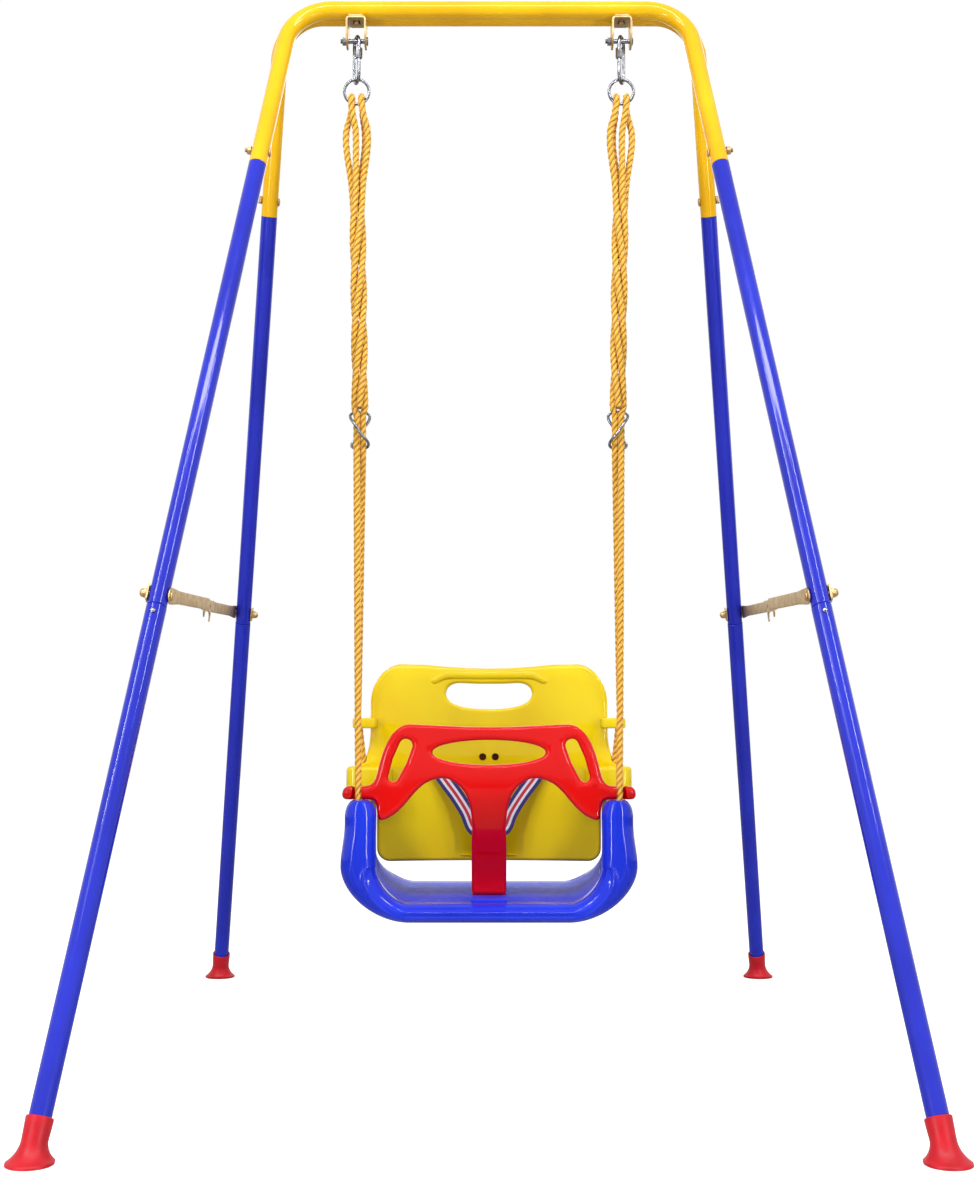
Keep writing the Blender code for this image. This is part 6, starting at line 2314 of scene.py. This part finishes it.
@dataclass
class Guard:
    """The red front guard: a bowed plate whose post sweeps back into the pan's slot."""

    ropes: Ropes
    top: float = 0.4219
    thickness: float = 0.016
    centre_y: float = -0.116
    side_y: float = -0.106
    arm_top: float = 0.3450
    arm_half: float = 0.1825
    post_half: float = 0.0222
    dip: float = 0.0034
    groove_radius: float = 0.0080
    groove_shift: float = 0.0018
    groove_mouth: float = 0.0058
    post_y: float = -0.050
    bend_height: float = 0.345
    bend_half: float = 0.060
    pan_top: float = 0.2036
    tongue_half: float = 0.0215

    def outline(self) -> Outline:
        """The guard's rim in front view: bar, shoulder, arm, leg arch and post.

        Returns:
            The rim's points.
        """
        arm, low = self.arm_top, ARM_TOP + 0.0003
        half: Outline = [(0.0, self.top - self.dip), (0.030, self.top - self.dip * 0.86)]
        half += [(0.060, self.top - self.dip * 0.50), (0.0850, self.top - self.dip * 0.12)]
        half += [(0.0990, self.top), (0.1046, self.top - 0.0010), (0.1104, self.top - 0.0036)]
        half += [(0.1151, self.top - 0.0072), (0.1194, self.top - 0.0115), (0.1229, self.top - 0.0164)]
        half += [(0.1265, self.top - 0.0228), (0.1294, self.top - 0.0294), (0.1323, self.top - 0.0370)]
        half += [(0.1347, self.top - 0.0451), (0.1368, arm + 0.0240), (0.1386, arm + 0.0161)]
        half += [(0.1408, arm + 0.0093), (0.1438, arm + 0.0043), (0.1482, arm + 0.0013), (0.1545, arm)]
        half += arc((self.arm_half - 0.009, arm - 0.009), 0.009, 84, 0, 7)
        half += arc((self.arm_half - 0.0056, low + 0.0056), 0.0056, 0, -90, 6)
        half += [(0.1470, low), (0.1440, low - 0.0006), (0.1416, low - 0.0024), (0.1402, low - 0.0058)]
        half += [(0.1392, 0.3150), (0.1388, 0.3105), *arc((0.1330, 0.3085), 0.0056, 0, -105, 7)]
        half += [(0.1270, 0.3046), (0.1190, 0.3088)]
        half += [(0.1122, 0.3143), (0.1059, 0.3205), (0.0992, 0.3284), (0.0928, 0.3362)]
        half += [(0.0864, 0.3427), (0.0798, 0.3480), (0.0720, 0.3521), (0.0641, 0.3545), (0.0549, 0.3551)]
        half += [(0.0500, 0.3538), (0.0458, 0.3519), (0.0403, 0.3483), (0.0353, 0.3441), (0.0310, 0.3387)]
        half += [(0.0275, 0.3323), (0.0252, 0.3257), (0.0235, 0.3192), (0.0225, 0.3115), (0.0217, 0.3035)]
        half += [(0.0212, 0.2960), (self.post_half - 0.0010, 0.2880), (self.post_half, 0.2722)]
        half += [(self.post_half, 0.2500), (self.post_half, 0.2260)]
        half += arc((self.post_half - 0.0056, self.pan_top + 0.0059), 0.0056, 0, -90, 6)
        half += [(0.0, self.pan_top + 0.0003)]
        return mirrored(half)

    def holes(self) -> list[Outline]:
        """The lens-shaped window and the slanted slot in each shoulder.

        Returns:
            The holes' outlines.
        """
        lens: Outline = []
        for x, y in arc((0, 0), 1, 0, 360, 56)[:-1]:
            lens.append((x * 0.0700, 0.3870 + copysign(abs(y) ** 0.95, y) * 0.0153))
        made = [lens]
        for sign in (-1, 1):
            top = arc((0.1030, 0.3956), 0.0081, 22, 202, 14)
            low = arc((0.1187, 0.3564), 0.0063, 202, 382, 14)
            made.append([(sign * x, z) for x, z in top + [(0.1022, 0.3740)] + low + [(0.1192, 0.3790)]])
        return made

    def depth_at(self, x: float, height: float) -> float:
        """The plate's middle surface, bowed across and swept back down the post.

        Args:
            x: Distance from the middle.
            height: Height over the floor.

        Returns:
            Its place, front to rear.
        """
        depth = bowed(self.centre_y, self.side_y, self.arm_half, x)
        if abs(x) < self.bend_half and height < self.bend_height:
            share = (self.bend_height - height) / (self.bend_height - self.pan_top)
            depth += (self.post_y - self.centre_y) * ease(share)
        return depth

    def groove(self, side: Side) -> Piece:
        """The cutter for the open groove that takes the front rope.

        Args:
            side: The side it is on.

        Returns:
            The cutter.
        """
        points = self.ropes.route("front")
        low, high = points[1], points[19]
        direction = (high - low).normalized()
        matrix = frame_matrix(low - direction * 0.02, direction, ACROSS)
        half, radius = self.groove_mouth, self.groove_radius
        start = degrees(asin(half / radius)) - 90
        outline = [(half, -0.03), *arc((0, 0), radius, start, 180 - start, 18), (-half, -0.03)]
        shape = bmesh.new()
        shift = self.groove_shift
        skin(shape, [[matrix @ Vector((x + shift, y, z)) for x, y in outline] for z in (0, 0.09)])
        return mesh("groove", shape, side.flip)

    def build(self) -> None:
        """Builds the guard as one moulding."""
        obj = slab("front_guard_shell", [self.outline(), *self.holes()], self.thickness, 0.0054)
        gridded(obj, Vector((-0.185, 0.20, 0)), Vector((0.185, 0.425, 0)), 0.007)
        stood_up(obj, self.depth_at)
        for side in Side:
            cut(obj, self.groove(side))
        tongue = slab("tongue", [rounded(self.tongue_half, 0.0060, 0.0015)], 0.0040, 0.0006)
        tongue.data.transform(Matrix.Translation((0, self.post_y, self.pan_top - 0.0020)) @ UPRIGHT)
        cut(obj, tongue, "UNION")
        smooth(obj, 34)
        dress(obj, RED_PLASTIC, "guard", ["front_guard"])


@dataclass
class Harness:
    """The striped straps and the black buckle."""

    backrest: Backrest
    web_width: float = 0.020
    web_thickness: float = 0.0014
    buckle_z: float = 0.262
    buckle_width: float = 0.044
    buckle_height: float = 0.030
    buckle_depth: float = 0.010

    def face(self) -> float:
        """The backrest's front face at the belt slot."""
        return self.backrest.depth_at(*self.backrest.slot) - self.backrest.thickness / 2

    def line(self) -> list[Vector]:
        """The right strap's middle line, slot to buckle.

        Returns:
            The line's points.
        """
        face = self.face()
        x, z = self.backrest.slot
        knots = [
            Vector((x, face + 0.010, z)),
            Vector((x, face - 0.003, z - 0.0006)),
            Vector((x - 0.004, face - 0.007, z - 0.008)),
            Vector((x - 0.0160, face - 0.011, z - 0.0250)),
            Vector((x - 0.0310, face - 0.016, z - 0.0450)),
            Vector((x - 0.0450, face - 0.021, z - 0.0670)),
            Vector((x - 0.0530, face - 0.025, z - 0.0860)),
            Vector((0.0145, face - 0.028, self.buckle_z + self.buckle_height / 2 + 0.0006)),
        ]
        return [on_curve(quad, step / 12) for quad in quads(knots) for step in range(12)] + [knots[-1]]

    def strap(self, side: Side) -> None:
        """One woven strap with stripes and rounded edges.

        Args:
            side: The side it is on.
        """
        line = self.line()
        rows = 9
        shape = bmesh.new()
        lay = shape.loops.layers.uv.new("lay")
        rings = []
        distances = [0.0]
        for first, second in zip(line, line[1:]):
            distances.append(distances[-1] + (second - first).length)
        for index, point in enumerate(line):
            ahead = (line[min(index + 1, len(line) - 1)] - line[max(index - 1, 0)]).normalized()
            across = ahead.cross(Vector((0, -1, 0)))
            across = across.normalized() if across.length > 0.3 else ACROSS.copy()
            if across.x < 0:
                across = -across
            up = across.cross(ahead).normalized()
            upper, lower = [], []
            for row in range(rows):
                share = row / (rows - 1) * 2 - 1
                thick = self.web_thickness / 2 * (1 - 0.45 * abs(share) ** 8)
                upper.append(point + across * share * self.web_width / 2 + up * thick)
                lower.append(point + across * share * self.web_width / 2 - up * thick)
            rings.append(upper + lower[::-1])
        made = skin(shape, rings)
        places = {}
        for ring, distance in zip(made, distances):
            for index, vertex in enumerate(ring):
                row = index if index < rows else 2 * rows - 1 - index
                places[vertex] = (row / (rows - 1), distance * 10)
        for face in shape.faces:
            for loop in face.loops:
                loop[lay].uv = places[loop.vert]
        piece(f"harness_strap_{side.value}", "webbing", shape, WEBBING, "swing", side.flip, 60)

    def buckle(self) -> None:
        """The black buckle: a ribbed housing with a press button."""
        outline = rounded(self.buckle_width / 2, self.buckle_height / 2, 0.006)
        obj = slab("harness_buckle_shell", [outline], self.buckle_depth * 0.86, 0.0022)
        middle = slab("button", [rounded(0.008, 0.006, 0.003)], self.buckle_depth * 0.98, 0.0008)
        joined(obj, middle)
        rib = slab("rib", [rounded(0.0165, 0.0009, 0.0006)], self.buckle_depth * 0.95, 0.0004)
        rib.data.transform(Matrix.Translation((0, -0.010, 0)))
        joined(obj, rib)
        place = Matrix.Translation((0, self.face() - 0.030, self.buckle_z)) @ UPRIGHT
        obj.data.transform(place)
        dress(obj, BLACK_PLASTIC, "swing", ["harness_buckle"])

    def build(self) -> None:
        """Builds both straps and the buckle."""
        for side in Side:
            self.strap(side)
        self.buckle()


# Each lamp's place, width and height, and power.
LAMPS = {
    "key": ((-2.0, -2.8, 3.2), (1.4, 1.4), 18),
    "top box": ((0.0, -1.7, 2.8), (2.0, 0.26), 34),
    "left box": ((-1.7, -1.7, 2.4), (0.16, 1.0), 20),
    "right box": ((1.7, -1.7, 2.4), (0.16, 1.0), 20),
    "low left box": ((-1.5, -2.1, 0.40), (0.16, 0.7), 13),
    "low right box": ((1.5, -2.1, 0.40), (0.16, 0.7), 13),
    "back": ((0.6, 2.8, 2.6), (2.0, 2.0), 18),
}


@dataclass
class Studio:
    """The pale floor, the soft light and the camera.

    Attributes:
        distance: From the camera to the part's middle plane.
        height: The camera's height, level with the horizon in the photo.
        horizon: The horizon's row in the photo.
        scale: Photo pixels per metre at the part's middle plane.
    """

    distance: float = 2.2157
    height: float = 0.4369
    horizon: float = 712.1
    centre: float = 489.0
    scale: float = 765.0
    width: int = 979
    tall: int = 1200
    sensor: float = 36.0
    floor_lift: float = 0.86

    def camera(self) -> None:
        """The camera at the photo's viewing angle."""
        data = bpy.data.cameras.new("camera")
        data.sensor_width = self.sensor
        data.lens = self.scale * self.distance * self.sensor / self.tall
        data.shift_y = (self.horizon - self.tall / 2) / self.tall
        data.shift_x = (self.width / 2 - self.centre) / self.tall
        data.clip_start = 0.05
        data.clip_end = 60
        obj = bpy.data.objects.new("camera", data)
        obj.location = (0, -self.distance, self.height)
        obj.rotation_euler = (pi / 2, 0, 0)
        bpy.context.scene.collection.objects.link(obj)
        bpy.context.scene.camera = obj

    def lamp(
        self, name: str, place: tuple[float, float, float], size: tuple[float, float], power: float
    ) -> None:
        """A soft lamp aimed at the swing's middle.

        Args:
            name: The lamp's name.
            place: Where it stands.
            size: Its width and height.
            power: Its power in watts.
        """
        data = bpy.data.lights.new(name, "AREA")
        data.shape = "RECTANGLE"
        data.size, data.size_y = size
        data.energy = power
        obj = bpy.data.objects.new(name, data)
        obj.location = place
        aim = Vector((0, 0, 0.6)) - Vector(place)
        obj.rotation_euler = aim.to_track_quat("-Z", "Y").to_euler()
        bpy.context.scene.collection.objects.link(obj)

    @staticmethod
    def seen_white(nodes: bpy.types.NodeTree, shader: bpy.types.NodeSocket) -> bpy.types.NodeSocket:
        """Shows plain white to the camera, mirrors and glass, and this shader to all else.

        Args:
            nodes: The world's node tree.
            shader: What lights the swing.

        Returns:
            The mixed output.
        """
        path = nodes.nodes.new("ShaderNodeLightPath")
        most = nodes.nodes.new("ShaderNodeMath")
        most.operation = "MAXIMUM"
        nodes.links.new(path.outputs["Is Camera Ray"], most.inputs[0])
        nodes.links.new(path.outputs["Is Glossy Ray"], most.inputs[1])
        both = nodes.nodes.new("ShaderNodeMath")
        both.operation = "MAXIMUM"
        nodes.links.new(most.outputs[0], both.inputs[0])
        nodes.links.new(path.outputs["Is Transmission Ray"], both.inputs[1])
        white = nodes.nodes.new("ShaderNodeBackground")
        white.inputs["Color"].default_value = WHITE
        mix = nodes.nodes.new("ShaderNodeMixShader")
        nodes.links.new(both.outputs[0], mix.inputs[0])
        nodes.links.new(shader, mix.inputs[1])
        nodes.links.new(white.outputs[0], mix.inputs[2])
        return mix.outputs[0]

    def world(self) -> None:
        """A white world that lights the swing softly."""
        world = bpy.data.worlds.new("studio")
        bpy.context.scene.world = world
        world.use_nodes = True
        tree = world.node_tree
        soft = tree.nodes["Background"]
        soft.inputs["Color"].default_value = WHITE
        soft.inputs["Strength"].default_value = 0.46
        out = tree.nodes["World Output"]
        tree.links.new(self.seen_white(tree, soft.outputs[0]), out.inputs["Surface"])

    def floor(self) -> None:
        """A large pale floor that takes the swing's shadow."""
        shape = bmesh.new()
        bmesh.ops.create_grid(shape, x_segments=8, y_segments=8, size=9)
        obj = mesh("floor", shape)
        obj.location.z = -0.0005
        nodes = Nodes("floor_white")
        cloud = nodes.noise(nodes.place(), 3.0)
        colours = nodes.ramp(cloud, "Fac", [(0.3, (0.50, 0.50, 0.50, 1)), (0.7, (0.52, 0.52, 0.52, 1))])
        nodes.drive(colours, "Color", "Base Color")
        nodes.set({"Roughness": 0.9, "Specular IOR Level": 0.0})
        path = nodes.add("ShaderNodeLightPath")
        lift = nodes.add("ShaderNodeEmission", {"Strength": self.floor_lift})
        both = nodes.add("ShaderNodeAddShader")
        nodes.join(nodes.shader, "BSDF", both, 0)
        nodes.join(lift, "Emission", both, 1)
        mix = nodes.add("ShaderNodeMixShader")
        nodes.join(path, "Is Camera Ray", mix, 0)
        nodes.join(nodes.shader, "BSDF", mix, 1)
        nodes.join(both, "Shader", mix, 2)
        nodes.join(mix, "Shader", nodes.output, "Surface")
        obj.data.materials.append(nodes.material)

    def build(self) -> None:
        """Builds the light and the floor."""
        bpy.context.scene.view_settings.view_transform = "Standard"
        self.world()
        self.floor()
        for name, (place, size, power) in LAMPS.items():
            self.lamp(name, place, size, power)


def main() -> None:
    """Builds the camera, the ropes and then every other sub-assembly."""
    logging.basicConfig(level=logging.INFO, format="%(message)s")
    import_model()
    studio = Studio()
    studio.camera()
    hangers = Hangers()
    ropes = Ropes(hangers)
    ropes.build()
    FRONT.build()
    REAR.build()
    Braces().build()
    hangers.build()
    SeatBase().build()
    backrest = Backrest(ropes)
    backrest.build()
    Guard(ropes).build()
    Harness(backrest).build()
    studio.build()


if __name__ == "__main__":
    main()
